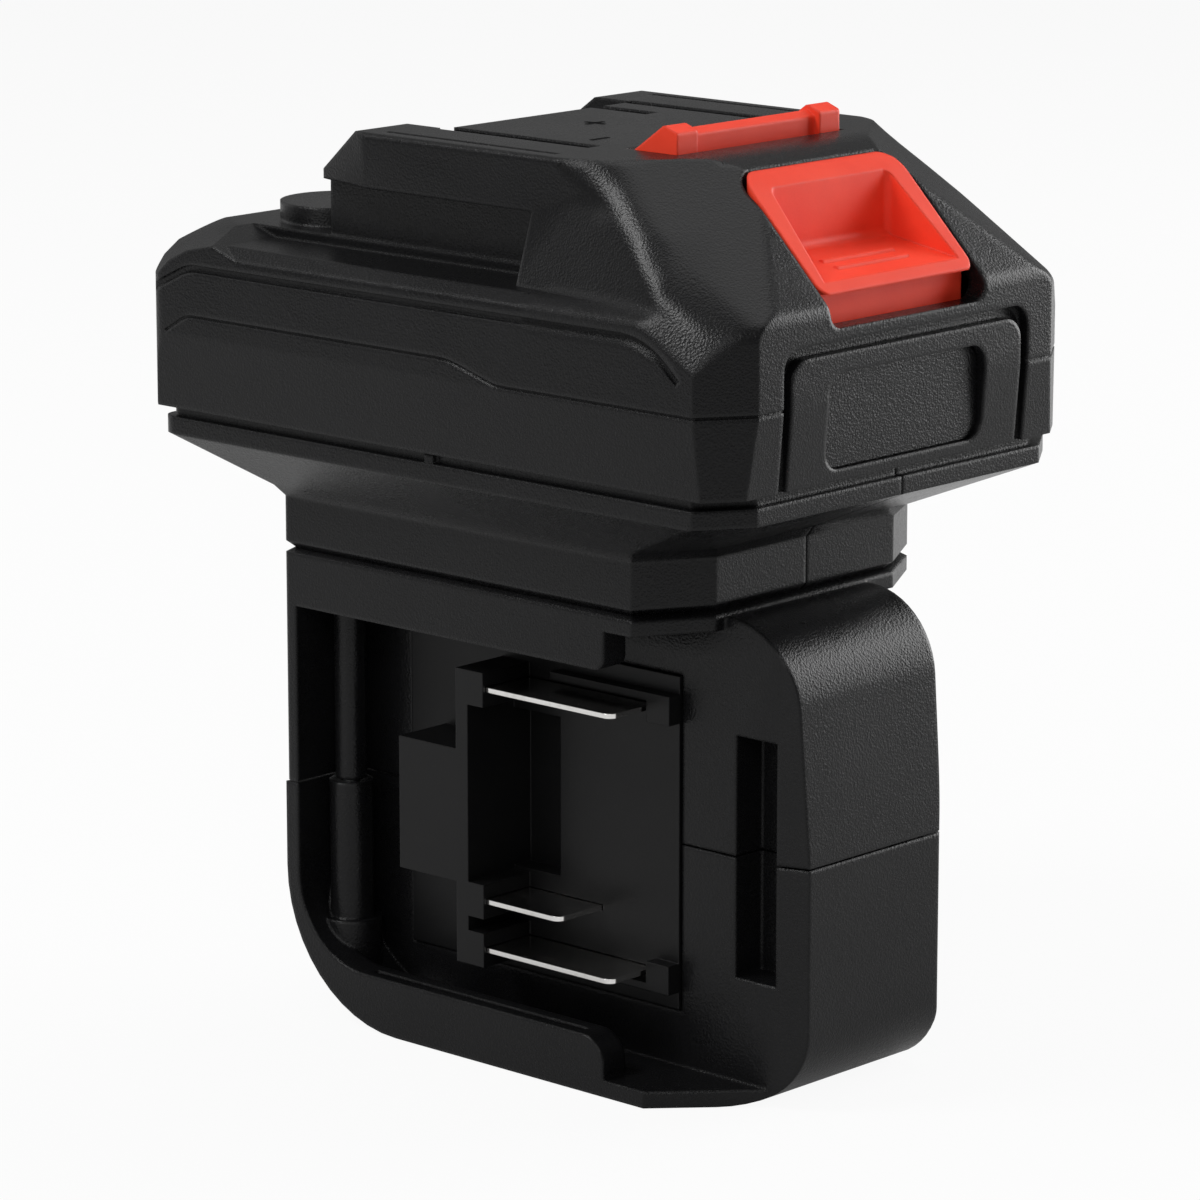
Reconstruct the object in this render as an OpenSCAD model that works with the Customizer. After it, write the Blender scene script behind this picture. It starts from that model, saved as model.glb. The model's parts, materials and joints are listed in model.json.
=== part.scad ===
// Battery adapter for slide-in tool packs.
// The head on top is a plug with rails, a release latch and blade contacts.
// The foot below is a seat with lips and blade terminals that takes a pack of the same system.
// The part stands on z = 0, +X points to the thumb button, -Y to the open side of the seat.

/* [Upper body] */
// Length at the widest line of the upper body
body_l = 110; // [100:1:125]
// Width at the widest line of the upper body
body_w = 77; // [72:1:90]
// Height from the rim of the upper body to its flat top
body_h = 42; // [40:1:52]
// Height of the widest line above the rim
girth_h = 11; // [6:0.5:14]
// How far the side walls lean in below the widest line
draft = 1; // [0.4:0.1:2]
// Front corner facet, along X
facet_x = 5.1; // [3:0.1:8]
// Front corner facet, along Y
facet_y = 7.4; // [4:0.1:10]
// Slope of the front face above the nose, degrees
nose_slope = 45; // [40:1:50]
// Height of the nose edge above the rim
nose_h = 23.7; // [21:0.1:26]
// Rounding between the flat top and the front slope
brow_r = 13; // [6:0.5:18]
// Slope of the two corner facets, degrees
hip_slope = 36.5; // [33:0.5:42]
// Rounding of the ridge over each corner facet
ridge_r = 6; // [2:0.5:8]
// Rounding of the nose edge
nose_r = 3; // [1:0.5:4]
// Rounding of the top edges of head and rails
top_edge_r = 1.4; // [0.5:0.1:2]
// Wall thickness of the mouldings
wall = 2.4; // [1.8:0.1:3]

/* [Plug rails] */
// Height of the flat top above the deck beside the rails
rail_h = 16; // [13:0.5:18]
// Thickness of the rail flange
flange_t = 7.8; // [5:0.1:9]
// Width over the two rail flanges
rail_w = 61; // [56:0.5:64]
// Width of the core under the flanges
core_w = 51.8; // [46:0.1:54]
// Length of the rails behind the head
rail_l = 43.5; // [38:0.5:46]
// How far the platform stops short of the rail ends
platform_setback = 16.5; // [12:0.5:19]
// Width of each rail behind the platform
rail_t = 6.4; // [5:0.1:8]
// Distance of the head behind the front face
head_l = 41.5; // [38:0.5:44]
// Distance between the two main blades or blade slots
blade_pitch = 38.1; // [34:0.1:39]
// Distance of the signal blade from the middle
signal_offset = 11.9; // [9:0.1:14]
// Width of a blade slot
slot_w = 2.6; // [2:0.1:3.4]
// Diameter of the two round bosses on the deck
boss_d = 17.6; // [10:0.2:18]
// Height of the round bosses
boss_h = 2.8; // [1:0.1:4]

/* [Latch] */
// Width of the thumb button
button_w = 32.2; // [26:0.2:34]
// Width of the hook bar
hook_w = 34; // [26:0.5:36]
// Height of the hook above the flat top
hook_h = 3.8; // [2.8:0.1:4]
// Travel of the latch when it is pressed
latch_travel = 3.8; // [2.7:0.1:4.2]
// Gap around the latch
latch_gap = 0.45; // [0.3:0.05:0.8]
// Wire diameter of the return springs
spring_wire = 0.8; // [0.5:0.1:1]
// Mean diameter of the return springs
spring_d = 5.2; // [4.2:0.1:6.4]
// Turns in each return spring
spring_turns = 5; // [4:1:6]

/* [Collar and neck] */
// Height of the edge band of the collar
band_h = 2.5; // [1.5:0.1:4]
// Height of the open groove between collar and upper body
seam_gap = 1.4; // [0.8:0.1:2]
// Height of the flare between neck and band
flare_h = 8.3; // [6:0.1:11]
// Height of the straight part of the neck
neck_h = 7.6; // [7:0.1:11]
// Length of the neck
neck_l = 74; // [68:0.5:78]
// Width of the neck
neck_w = 58.8; // [54:0.2:64]
// Front corner facet of the neck, along X
neck_facet_x = 6.1; // [3:0.1:8]
// Front corner facet of the neck, along Y
neck_facet_y = 10.5; // [6:0.1:12]

/* [Battery seat] */
// Height of the foot
foot_h = 69.4; // [68.4:0.1:76]
// Length of the foot
foot_l = 88.3; // [84:0.1:92]
// Distance from the seat floor to the far wall
foot_t = 30; // [28:0.5:34]
// Depth of the seat from lip face to floor
seat_depth = 12.4; // [11:0.1:14]
// Thickness of the lips
lip_t = 4.6; // [3.5:0.1:5.5]
// Clear width between the lips
lip_gap = 52.6; // [52.2:0.1:54]
// Clear width behind the lips
seat_w = 64.6; // [62.5:0.1:65]
// Length of the lips from the back of the foot
lip_l = 62.6; // [60:0.2:66]
// Rounding of the bottom edge at the back
heel_r = 22; // [12:0.5:24]
// Rounding of the bottom edge at the front
toe_r = 11; // [6:0.5:13]
// Rounding of the top edge at the front
instep_r = 12; // [6:0.5:14]
// Thickness of the flange plate under the neck
plate_t = 2.8; // [2.2:0.1:3.4]
// Length of the latch recess in the floor
catch_l = 7.5; // [6:0.1:8.5]
// Depth of the latch recess
catch_depth = 5.5; // [4:0.1:7]

/* [Terminals] */
// Thickness of the blades
blade_t = 0.7; // [0.6:0.05:1.2]
// Free length of the two main blades
blade_l = 23.4; // [18:0.2:25]
// Free length of the signal blade
signal_l = 13.6; // [10:0.2:17]
// How far the blades stand out of the floor
blade_reach = 10; // [8:0.1:11]
// Diameter of the leads
wire_d = 2.6; // [2:0.1:3]

/* [Fasteners] */
// Thread diameter of the screws
screw_d = 3; // [2.5:0.1:3.2]
// Head diameter of the screws
head_d = 5.6; // [4.8:0.1:6]
// Head height of the screws
head_t = 2.2; // [1.6:0.1:2.4]
// Radial room around a screw head in its counterbore
head_gap = 0.4; // [0.2:0.05:0.6]

/* [Hidden] */
$fn = 48;
arc_step = 7.5;
over = 1;
big = 200;
skin = 0.01;
split_gap = 0.3;
fit = 0.2;

// Levels
z_part = foot_h/2;
z_neck = foot_h;
z_flare = z_neck + neck_h;
z_band = z_flare + flare_h;
z_rim = z_band + band_h;
z_body = z_rim + seam_gap;
z_girth = z_body + girth_h;
z_top = z_body + body_h;
z_deck = z_top - rail_h;
z_nose = z_body + nose_h;
z_flange = z_top - flange_t;
lap_h = 2.4;

// Upper body
half_l = body_l/2;
half_w = body_w/2;
ridge_in = 2.5;
ridge_drop = 1.6;
ridge_y = half_w - ridge_in;
z_ridge = z_deck - ridge_drop;
z_panel = z_ridge - 1.6;
step_y = core_w/2 + 0.3;
x_ramp = -half_l + 9.2;
ramp_run = 9.6;
back_edge_r = 2.5;
corner_drop = 7.6;
corner_heading = 127;
cheek_turns = [18, 35, 50];
cheek_steps = [-1.1, 0, 2.6];
flank_lean = 0.323;
flank_taper = 0.1;
back_corner_r = 3;
front_extra = 0.8;
x_front = half_l - wall - front_extra;
x_head = half_l - head_l;
x_rail = x_head - rail_l;
x_platform = x_rail + platform_setback;
x_brow = half_l - (z_top - z_nose)/tan(nose_slope);
deck_boss_x = x_rail - boss_d/2 - 0.7;
deck_boss_y = 14.5;

// Latch
latch_top_gap = 0.3;
z_latch = z_top - wall - latch_top_gap;
x_button = x_brow + 1.1;
x_lip = half_l - 1.8;
x_stem = x_front - latch_gap;
z_sill = z_body + 21;
lip_clear = 0.4;
z_lip = z_sill + latch_travel + lip_clear;
lip_edge = 1.3;
arm_t = 5.5;
hook_run = 8.3;
hook_apex = 5.9;
hook_fall = 0.9;
x_hook = x_brow - 17.1;
z_latch_foot = z_lip - 8;
spring_x = half_l - 11.5;
spring_y = 10;
spring_fit = 0.3;
spring_l = 12;
z_seat = z_latch_foot - spring_l;
peg_d = spring_d - spring_wire - 0.8;
peg_h = 3;

// Foot
x_heel = -neck_l/2;
x_toe = x_heel + foot_l;
instep_lean = 2.3;
foot_top = foot_h - 1;
floor_y = -neck_w/2 + seat_depth;
lip_y = -neck_w/2;
far_y = floor_y + foot_t;
seat_low = z_part - seat_w/2;
seat_high = z_part + seat_w/2;
lip_low = z_part - lip_gap/2;
lip_high = z_part + lip_gap/2;
x_seat = x_heel + wall;
x_lip_end = x_heel + lip_l;
lip_corner_r = 4;
cheek_run = 12;
cheek_x = x_lip_end + 7.6;
edge_x = 4.7;
edge_y = 1.5;
far_r = 3;
toe_edge_r = 0.8;
upper_lip_r = 1.6;
catch_w = hook_w + 0.6;
catch_x = x_toe - edge_x - catch_l;
catch_wall = 1.6;
spigot_x = 20;
spigot_y = 12;
spigot_wall = 2.4;
spigot_rim = 2.5;
spigot_h = 5.6;
neck_floor = 3.2;
rim_gap = 0.15;

// Terminal block
block_x = x_heel + 14;
block_l = 52;
block_w = 43;
block_gap = 0.25;
block_margin = 2.5;
column_x = block_x + 18.1;
column_t = 2.3;
clamp_l = 5.3;
clamp_w = 5;
nose_block_w = 19.5;
block_rim = 2;
block_rim_t = 1.8;
blade_x = column_x + clamp_l + 0.5;
tab_l = 8;
tab_reach = 7;
blade_levels = [z_part + blade_pitch/2, z_part - blade_pitch/2, z_part - signal_offset];
blade_lengths = [blade_l, blade_l, signal_l];

// Contacts in the plug
contact_l = 18;
contact_t = 0.6;
contact_gap = 0.9;
contact_h = 8;
contact_base = 1.4;
contact_x = x_platform + wall + 1.5;
contact_rows = [blade_pitch/2, -blade_pitch/2, signal_offset];
contact_lengths = [contact_l, contact_l, contact_l/2];
carrier_t = 3;
carrier_gap = 0.3;
z_carrier = z_top - wall - contact_h - contact_base - carrier_t - 0.6;
tail_l = 4;

// Screw places
case_x = half_l - 11;
case_y = 27;
neck_screw_x = neck_l/2 - 9.5;
foot_points = [[x_heel + 6, floor_y - 5], [x_heel + 6, far_y - 6.5], [x_toe - 8.8, far_y - 9]];
carrier_points = [[contact_x + 9, 0], [contact_x + contact_l + 1, -8]];
post_d = 6.2;
sleeve_d = 8.7;
pillar_d = 6.4;
pilot_d = screw_d - 0.5;
shank_hole = screw_d + 0.4;

// Outline helpers
function unit(v) = v/norm(v);
function turned(v, a) = [v.x*cos(a) - v.y*sin(a), v.x*sin(a) + v.y*cos(a)];
function fillet(before, at, after, r) =
  let (u = unit(before - at), v = unit(after - at), half = acos(u*v)/2, sweep = 180 - 2*half)
  let (centre = at + unit(u + v)*r/sin(half), first = at + u*r/tan(half) - centre)
  let (side = sign(u.x*v.y - u.y*v.x), steps = max(2, ceil(sweep/arc_step)))
  [for (k = [0:steps]) centre + turned(first, -side*sweep*k/steps)];
// Closed outline whose corners are rounded by the radii beside its points
function rounded(points, radii) =
  let (n = len(points))
  [for (i = [0:n - 1]) each radii[i] <= 0 ? [points[i]]
    : fillet(points[(i + n - 1) % n], points[i], points[(i + 1) % n], radii[i])];
function mirrored(half) = concat(half, [for (i = [len(half) - 1:-1:0]) [-half[i].x, half[i].y]]);

module along_x(x0, x1) {
  translate([x0, 0, 0]) rotate([90, 0, 90]) linear_extrude(x1 - x0) children();
}
module along_y(y0, y1) {
  translate([0, y1, 0]) rotate([90, 0, 0]) linear_extrude(y1 - y0) children();
}
module along_z(z0, z1) {
  translate([0, 0, z0]) linear_extrude(z1 - z0) children();
}
module slab(low, high) {
  translate(low) cube(high - low);
}

// Plan outline of body, collar or neck: straight back corners, faceted front corners
module faceted_plan(hl, hw, fx, fy, back_r) {
  polygon(rounded(
    [[-hl, -hw], [hl - fx, -hw], [hl, -hw + fy], [hl, hw - fy], [hl - fx, hw], [-hl, hw]],
    [back_r, 0, 0, 0, 0, back_r]));
}
module body_plan(inset) {
  faceted_plan(half_l - inset, half_w - inset, facet_x, facet_y, max(back_corner_r - inset, 0.5));
}
module collar_plan(inset) {
  in = inset + draft;
  faceted_plan(half_l - in, half_w - in, facet_x, facet_y, max(back_corner_r - inset, 0.5));
}
module neck_plan(inset) {
  faceted_plan(neck_l/2 - inset, neck_w/2 - inset, neck_facet_x, neck_facet_y, 1);
}

// Nose line of the front slope, moved in by the wall
function slope_x(z, inset) = half_l - (z - z_nose)/tan(nose_slope) - inset/sin(nose_slope);
function front_z(x, inset) = z_nose + (half_l - inset/sin(nose_slope) - x)*tan(nose_slope);

// Side profile of the lower part of the upper body
function base_side(inset) =
  let (front = half_l - inset - (inset > 0 ? front_extra : 0), back = -half_l + inset, top = z_deck - inset)
  rounded(
    [[back + draft, z_body - over], [front - draft, z_body - over], [front, z_girth],
      [front, front_z(front, inset)], [slope_x(top, inset), top], [back, top], [back, z_girth]],
    [0, 0, 0, 0, 0, max(back_edge_r - inset, 0.5), 0]);
// Front profile of the lower part, with a ledge on each side of the deck
function base_front(inset) =
  let (side = half_w - inset)
  mirrored(rounded(
    [[0, z_body - over], [side - draft, z_body - over], [side, z_girth], [side, z_panel - inset/2],
      [ridge_y - inset, z_ridge - inset], [step_y - inset, z_ridge - inset], [step_y - inset, z_deck - inset],
      [0, z_deck - inset]],
    [0, 0, 0, 1, 0.6, 0, 0, 0]));
// Side profile of the head
function head_side(inset) =
  let (low = z_panel, top = z_top - inset, front = half_l - inset - (inset > 0 ? front_extra : 0))
  rounded(
    [[x_head + inset, low], [front, low], [front, front_z(front, inset)],
      [slope_x(top, inset), top], [x_head + inset, top]],
    [0, 0, 0, brow_r, 0]);
// Flanks of the head: planes that lean in and pinch a little towards the rails
function flank_n(side) = unit([-flank_taper, side, flank_lean]);
function flank_p(side) = [x_head, side*rail_w/2, z_flange];
// Half space outside a plane through p with normal n, moved in by the wall
module beyond(p, n, inset) {
  a = unit(cross(n, [0, 0, 1]));
  b = cross(n, a);
  multmatrix([[a.x, b.x, n.x, p.x], [a.y, b.y, n.y, p.y], [a.z, b.z, n.z, p.z], [0, 0, 0, 1]])
    translate([-big/2, -big/2, -inset])
      cube(big);
}
module flank_cuts(inset) {
  for (side = [-1, 1])
    beyond(flank_p(side), flank_n(side), inset);
}

// Space above the two corner facets and beside the ends of the flanks, which the body is cut by
module hip_cuts(inset) {
  for (side = [-1, 1]) {
    translate([half_l - facet_x/2, side*(half_w - facet_y/2), z_nose - 1.1])
      rotate([0, hip_slope, side*atan2(facet_x, facet_y)])
        translate([-big/2, -big/2, -inset])
          cube(big);
    for (k = [0:2])
      beyond([half_l - 14.4, side*half_w, z_panel - 0.5] + cheek_steps[k]*[0.49, -0.4*side, 0.87],
        unit([0.49*sin(cheek_turns[k]), side*cos(cheek_turns[k]), 0.87*sin(cheek_turns[k])]), inset);
  }
}
// Space above the two back corners, where three planes make a rounded shoulder
module corner_cuts(inset) {
  for (side = [-1, 1]) {
    flat = [cos(corner_heading), side*sin(corner_heading)];
    beyond([-half_l, side*half_w, z_deck - corner_drop - 0.8], unit([flat.x, flat.y, 0.7]), inset);
    beyond([-half_l, side*half_w, z_deck - corner_drop + 1], unit([flat.x, flat.y, 1.27]), inset);
    beyond([-half_l + 1.8, side*(half_w - 14.4), z_deck], unit([flat.x, flat.y, 2.9]), inset);
  }
}
// Raised end behind the ledges, with a ramp up to the level of the deck
module back_rim() {
  intersection() {
    along_y(-big/2, big/2)
      polygon([[-half_l - over, z_girth], [x_ramp + ramp_run, z_girth], [x_ramp + ramp_run, z_panel], [x_ramp, z_deck],
        [-half_l - over, z_deck]]);
    along_y(-big/2, big/2) polygon(base_side(0));
    along_z(z_girth, z_deck) body_plan(0);
  }
}
// Sliver outside an arc that touches two faces: cut away, it rounds their common edge
module edge_sliver(from, to, n1, n2, r) {
  d = unit(cross(n1, n2));
  m = unit(n1 + n2);
  s = cross(d, m);
  half = acos(n1*n2)/2;
  length = norm(to - from);
  middle = (from + to)/2;
  margin = 0.6;
  steps = max(3, ceil(2*half/arc_step));
  arc = [for (k = [0:steps]) let (a = half - 2*half*k/steps) [r*cos(a) - r/cos(half), r*sin(a)]];
  lead = 0.3*(arc[0] - arc[1]);
  out = arc[0] + margin*[cos(half), sin(half)];
  multmatrix([[m.x, s.x, d.x, middle.x], [m.y, s.y, d.y, middle.y], [m.z, s.z, d.z, middle.z], [0, 0, 0, 1]])
    translate([0, 0, -length/2])
      linear_extrude(length)
        polygon(concat([[out.x, -out.y], [margin/cos(half), 0], out, arc[0] + lead], [for (k = [1:steps - 1]) arc[k]],
          [[arc[0].x + lead.x, -arc[0].y - lead.y]]));
}
// Point at height z on the line in which two faces meet
function meet(n1, p1, n2, p2, z) =
  let (a = n1*p1 - n1.z*z, b = n2*p2 - n2.z*z, det = n1.x*n2.y - n1.y*n2.x)
  [(a*n2.y - b*n1.y)/det, (n1.x*b - n2.x*a)/det, z];
// Roundings along the ridges, the nose, the facets and the top edges of head and rails
module soft_edges() {
  heading = atan2(facet_x, facet_y);
  slope_n = [sin(nose_slope), 0, cos(nose_slope)];
  edge_sliver([half_l, -half_w, z_nose], [half_l, half_w, z_nose], [1, 0, 0], slope_n, nose_r);
  for (side = [-1, 1]) {
    hip_n = [sin(hip_slope)*cos(heading), side*sin(hip_slope)*sin(heading), cos(hip_slope)];
    hip_p = [half_l - facet_x/2, side*(half_w - facet_y/2), z_nose - 1.1];
    rail_n = [0, side, 0];
    turn = flank_lean/flank_taper;
    z_join = (hip_n*hip_p - hip_n.x*(x_head - turn*z_flange) - hip_n.y*side*rail_w/2)/(hip_n.x*turn + hip_n.z);
    edge_sliver(meet(flank_n(side), flank_p(side), hip_n, hip_p, z_ridge + 1),
      meet(flank_n(side), flank_p(side), hip_n, hip_p, z_join + 0.2), flank_n(side), hip_n, ridge_r);
    edge_sliver(meet(rail_n, flank_p(side), hip_n, hip_p, z_join), meet(rail_n, flank_p(side), hip_n, hip_p, z_top + 2),
      rail_n, hip_n, ridge_r);
    edge_sliver(meet(slope_n, [half_l, 0, z_nose], hip_n, hip_p, z_nose - 1),
      meet(slope_n, [half_l, 0, z_nose], hip_n, hip_p, z_top - brow_r*0.25), hip_n, slope_n, ridge_r);
    edge_sliver([x_rail, side*rail_w/2, z_top], [x_brow, side*rail_w/2, z_top], rail_n, [0, 0, 1], top_edge_r*0.6);
    facet_n = [cos(heading), side*sin(heading), 0];
    along = [sin(heading), -side*cos(heading), 0];
    edge_sliver(hip_p - (facet_y + 2)*along, hip_p + (facet_y + 2)*along, facet_n, hip_n, nose_r);
  }
}
module base_form(inset) {
  intersection() {
    along_y(-big/2, big/2) polygon(base_side(inset));
    along_x(-big/2, big/2) polygon(base_front(inset));
    along_z(z_body - 2*over, z_top) body_plan(inset);
  }
}
module head_form(inset) {
  difference() {
    intersection() {
      along_y(-big/2, big/2) polygon(head_side(inset));
      along_z(z_body, z_top + over) body_plan(inset);
    }
    hip_cuts(inset);
    flank_cuts(inset);
  }
}

// One rail: core wall, flange and the end that is cut back in plan and in profile
module rail(side) {
  tip_run = 11.5;
  tip_in = 3.2;
  slope_run = 9;
  slope_drop = 6.4;
  out = rail_w/2;
  intersection() {
    union() {
      slab([x_rail, core_w/2 - rail_t, z_deck - over], [x_head + over, core_w/2, z_top]);
      along_z(z_flange, z_top)
        polygon([[x_rail, core_w/2 - rail_t], [x_brow, core_w/2 - rail_t], [x_brow, out],
          [x_rail + tip_run, out], [x_rail, out - tip_in]]);
    }
    along_y(-big/2, big/2)
      polygon([[x_rail, z_deck - over], [x_brow, z_deck - over], [x_brow, z_top],
        [x_rail + slope_run, z_top], [x_rail, z_top - slope_drop]]);
  }
}

// Stroke of constant width along a line of points, for the engraved lines on the flanks
module stroke(points, w) {
  left = [for (i = [0:len(points) - 1])
    let (a = points[max(i - 1, 0)], b = points[min(i + 1, len(points) - 1)], d = unit(b - a))
    points[i] + w/2*[-d.y, d.x]];
  right = [for (i = [len(points) - 1:-1:0]) 2*points[i] - left[i]];
  polygon(concat(left, right));
}
// Groove over each flank panel: it climbs at the back and curls down at the front
module flank_groove() {
  groove_w = 1.1;
  groove_depth = 0.7;
  z = z_panel - 1.9;
  front = half_l - 7.8;
  line = rounded([[-half_l + 1, z - 3.6], [-half_l + 8.5, z], [front - 5.8, z], [front, z - 5.2]], [0, 8, 12, 0]);
  for (side = [-1, 1])
    translate([0, side*half_w, 0])
      along_y(-groove_depth, groove_depth) stroke(line, groove_w);
}
// Fine parting line: it climbs over the back of the flank, then follows the widest line round to the front panel
line_w = 0.45;
line_depth = 0.3;
module flank_line() {
  rise = 2.9;
  line = rounded(
    [[-half_l + 3.6, z_girth + 0.3], [-half_l + 8, z_girth + rise], [5, z_girth + rise], [14, z_girth + 0.3],
      [half_l - facet_x + 0.2, z_girth + 0.3]],
    [0, 4, 14, 8, 0]);
  for (side = [-1, 1])
    translate([0, side*half_w, 0])
      along_y(-line_depth, line_depth) stroke(line, line_w);
  low = z_girth + 0.3 - line_w/2;
  difference() {
    for (side = [-1, 1])
      slab([half_l - facet_x, side > 0 ? panel_w/2 : -half_w - over, low],
        [half_l + over, side > 0 ? half_w + over : -panel_w/2, low + line_w]);
    along_z(z_girth - over, z_girth + over) body_plan(line_depth);
  }
}

// Front panel groove, an upside-down U, and the label recess inside it
panel_w = 52;
panel_top = 19.4;
panel_r = 3.2;
panel_groove = 1.7;
panel_depth = 0.8;
label_w = 33.4;
label_h = 13.4;
label_low = 1.6;
label_r = 3;
label_depth = 1.1;
module panel_outline(in) {
  polygon(rounded(
    [[-panel_w/2 + in, z_body - 2*over], [panel_w/2 - in, z_body - 2*over],
      [panel_w/2 - in, z_body + panel_top - in], [-panel_w/2 + in, z_body + panel_top - in]],
    [0, 0, panel_r, panel_r]));
}
module label_outline(in) {
  low = z_body + label_low + in;
  high = z_body + label_low + label_h - in;
  polygon(rounded(
    [[-label_w/2 + in, low], [label_w/2 - in, low], [label_w/2 - in, high], [-label_w/2 + in, high]],
    [for (k = [1:4]) label_r - in]));
}
module front_cuts() {
  along_x(half_l - draft - panel_depth, half_l + over)
    difference() {
      panel_outline(0);
      panel_outline(panel_groove);
    }
  along_x(half_l - draft - label_depth, half_l + over) label_outline(0);
}

// Way out for the button and the hook
button_corner_r = 3.4;
module button_way(gap) {
  half = button_w/2 + gap;
  intersection() {
    along_z(z_sill - gap, z_top + over)
      polygon(rounded(
        [[x_button - gap, -half], [half_l + over, -half], [half_l + over, half], [x_button - gap, half]],
        [button_corner_r, 0, 0, button_corner_r]));
    along_x(x_button - over, half_l + 2*over)
      polygon(rounded(
        [[-half, z_sill], [half, z_sill], [half, z_top + 2*over], [-half, z_top + 2*over]],
        [2.2, 2.2, 0, 0]));
  }
}
module hook_way(gap) {
  slab([x_hook - 2*gap, -hook_w/2 - gap, z_top - wall - over], [x_hook + hook_run + gap, hook_w/2 + gap, z_top + over]);
}

// Long blade slots, open at the back of the platform, and the short signal slot
module blade_slots() {
  slot_depth = contact_h + 1;
  for (side = [-1, 1])
    slab([x_platform - over, side*blade_pitch/2 - slot_w/2, z_top - slot_depth],
      [x_platform + 28, side*blade_pitch/2 + slot_w/2, z_top + over]);
  slab([x_platform - over, signal_offset - slot_w/2, z_top - slot_depth],
    [x_platform + 10.6, signal_offset + slot_w/2, z_top + over]);
}
// Shallow lines on the rail tops
module rail_lines() {
  line_depth = 0.6;
  for (side = [-1, 1])
    slab([x_rail + 13, side*(rail_w/2 - 3) - 0.5, z_top - line_depth],
      [x_head + 2, side*(rail_w/2 - 3) + 0.5, z_top + over]);
}

module top_shell() {
  color([0.16, 0.16, 0.17])
  difference() {
    union() {
      difference() {
        union() {
          difference() {
            union() {
              base_form(0);
              back_rim();
            }
            hip_cuts(0);
            corner_cuts(0);
          }
          head_form(0);
          slab([x_platform, -core_w/2, z_deck - over], [x_head + over, core_w/2, z_top]);
          difference() {
            union() {
              rail(1);
              mirror([0, 1, 0]) rail(-1);
            }
            hip_cuts(0);
          }
          for (side = [-1, 1])
            translate([deck_boss_x, side*deck_boss_y, z_deck - over]) cylinder(d = boss_d, h = boss_h + over);
        }
        difference() {
          base_form(wall);
          hip_cuts(wall);
          corner_cuts(wall);
        }
        head_form(wall);
        slab([x_platform + wall, -core_w/2 + wall, z_deck - 2*wall], [x_head + 2*wall, core_w/2 - wall, z_top - wall]);
      }
      shell_posts();
    }
    soft_edges();
    rim_rebate();
    flank_groove();
    flank_line();
    front_cuts();
    button_way(latch_gap);
    hook_way(latch_gap);
    blade_slots();
    rail_lines();
    shell_pilots();
    catches(fit);
  }
}
// Step inside the rim that the tongue of the collar fits into
module rim_rebate() {
  along_z(z_body - 2*over, z_body + lap_h + fit) collar_plan(wall/2 - fit/2);
  along_z(z_body - 3*over, z_body) square(big, center = true);
}
post_top = z_deck - wall/2;
module shell_posts() {
  for (y = [-case_y, case_y])
    translate([-case_x, y, z_rim + fit]) cylinder(d = sleeve_d - 1.5, h = min(post_top, z_nose) - z_rim - fit);
  for (p = carrier_points)
    translate([p.x, p.y, z_carrier + carrier_t]) cylinder(d = post_d, h = z_top - wall/2 - z_carrier - carrier_t);
}
module shell_pilots() {
  for (y = [-case_y, case_y])
    translate([-case_x, y, z_rim - over]) cylinder(d = pilot_d, h = 12 + over);
  for (p = carrier_points)
    translate([p.x, p.y, z_carrier - over]) cylinder(d = pilot_d, h = carrier_t + 8 + over);
}

module front_label() {
  label_t = 0.6;
  label_gap = 0.15;
  color([0.2, 0.2, 0.21])
  along_x(half_l - draft - label_depth, half_l - draft - label_depth + label_t) label_outline(label_gap);
}

// Red latch: hook bar, arm under the flat top, button with its thumb scoop
module release_latch() {
  color([0.9, 0.25, 0.18])
  difference() {
    union() {
      button_body();
      latch_arm();
      hook_bar();
      scoop_ridges();
    }
    for (side = [-1, 1])
      translate([spring_x, side*spring_y, z_latch_foot - over])
        cylinder(d = spring_d + spring_wire + 2*spring_fit, h = peg_h + over);
  }
}
scoop_top = 2.7;
scoop_floor = 3.2;
x_scoop = x_button + scoop_top;
z_scoop = z_lip + scoop_floor;
module button_body() {
  half = button_w/2;
  difference() {
    union() {
      intersection() {
        along_y(-half, half) polygon(head_side(0));
        along_z(z_lip, z_top)
          polygon(rounded(
            [[x_button, -half], [x_lip, -half], [x_lip, half], [x_button, half]],
            [button_corner_r, 1.6, 1.6, button_corner_r]));
        along_x(x_button - over, x_lip + over)
          polygon(rounded(
            [[-half - skin, z_lip], [half + skin, z_lip], [half + skin, z_top + over], [-half - skin, z_top + over]],
            [1.6, 1.6, 0, 0]));
      }
      slab([x_button, -half + 0.6, z_latch_foot], [x_stem, half - 0.6, z_lip + over]);
    }
    scoop();
  }
}
// Thumb scoop: steep back wall, floor that runs out to the lip, flanks that spread towards the lip
function scoop_z(x) = z_scoop + 0.8 - (x - x_scoop)*(z_scoop + 0.4 - z_lip - lip_edge)/(x_lip - 2.2 - x_scoop);
module scoop() {
  intersection() {
    along_y(-button_w, button_w)
      polygon(rounded(
        [[x_scoop, z_scoop + 0.8], [x_lip - 2.2, z_lip + lip_edge + 0.4], [x_lip + 2*over, z_lip + lip_edge - 0.2],
          [x_lip + 2*over, z_top + over], [x_scoop, z_top + over]],
        [1.4, 0, 0, 0, 0]));
    along_z(z_lip - over, z_top + 2*over)
      polygon(rounded(
        [[x_scoop, -button_w/2 + 3.7], [x_lip + 2*over, -button_w/2 + 1.4], [x_lip + 2*over, button_w/2 - 1.4],
          [x_scoop, button_w/2 - 3.7]],
        [1.2, 0, 0, 1.2]));
  }
}
module scoop_ridges() {
  rib_r = 0.6;
  rib_len = 15;
  for (k = [0, 1])
    translate([x_scoop + 5 + 2.6*k, 0, scoop_z(x_scoop + 5 + 2.6*k) - 0.3])
      rotate([90, 0, 0]) cylinder(r = rib_r, h = rib_len, center = true);
}
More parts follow.
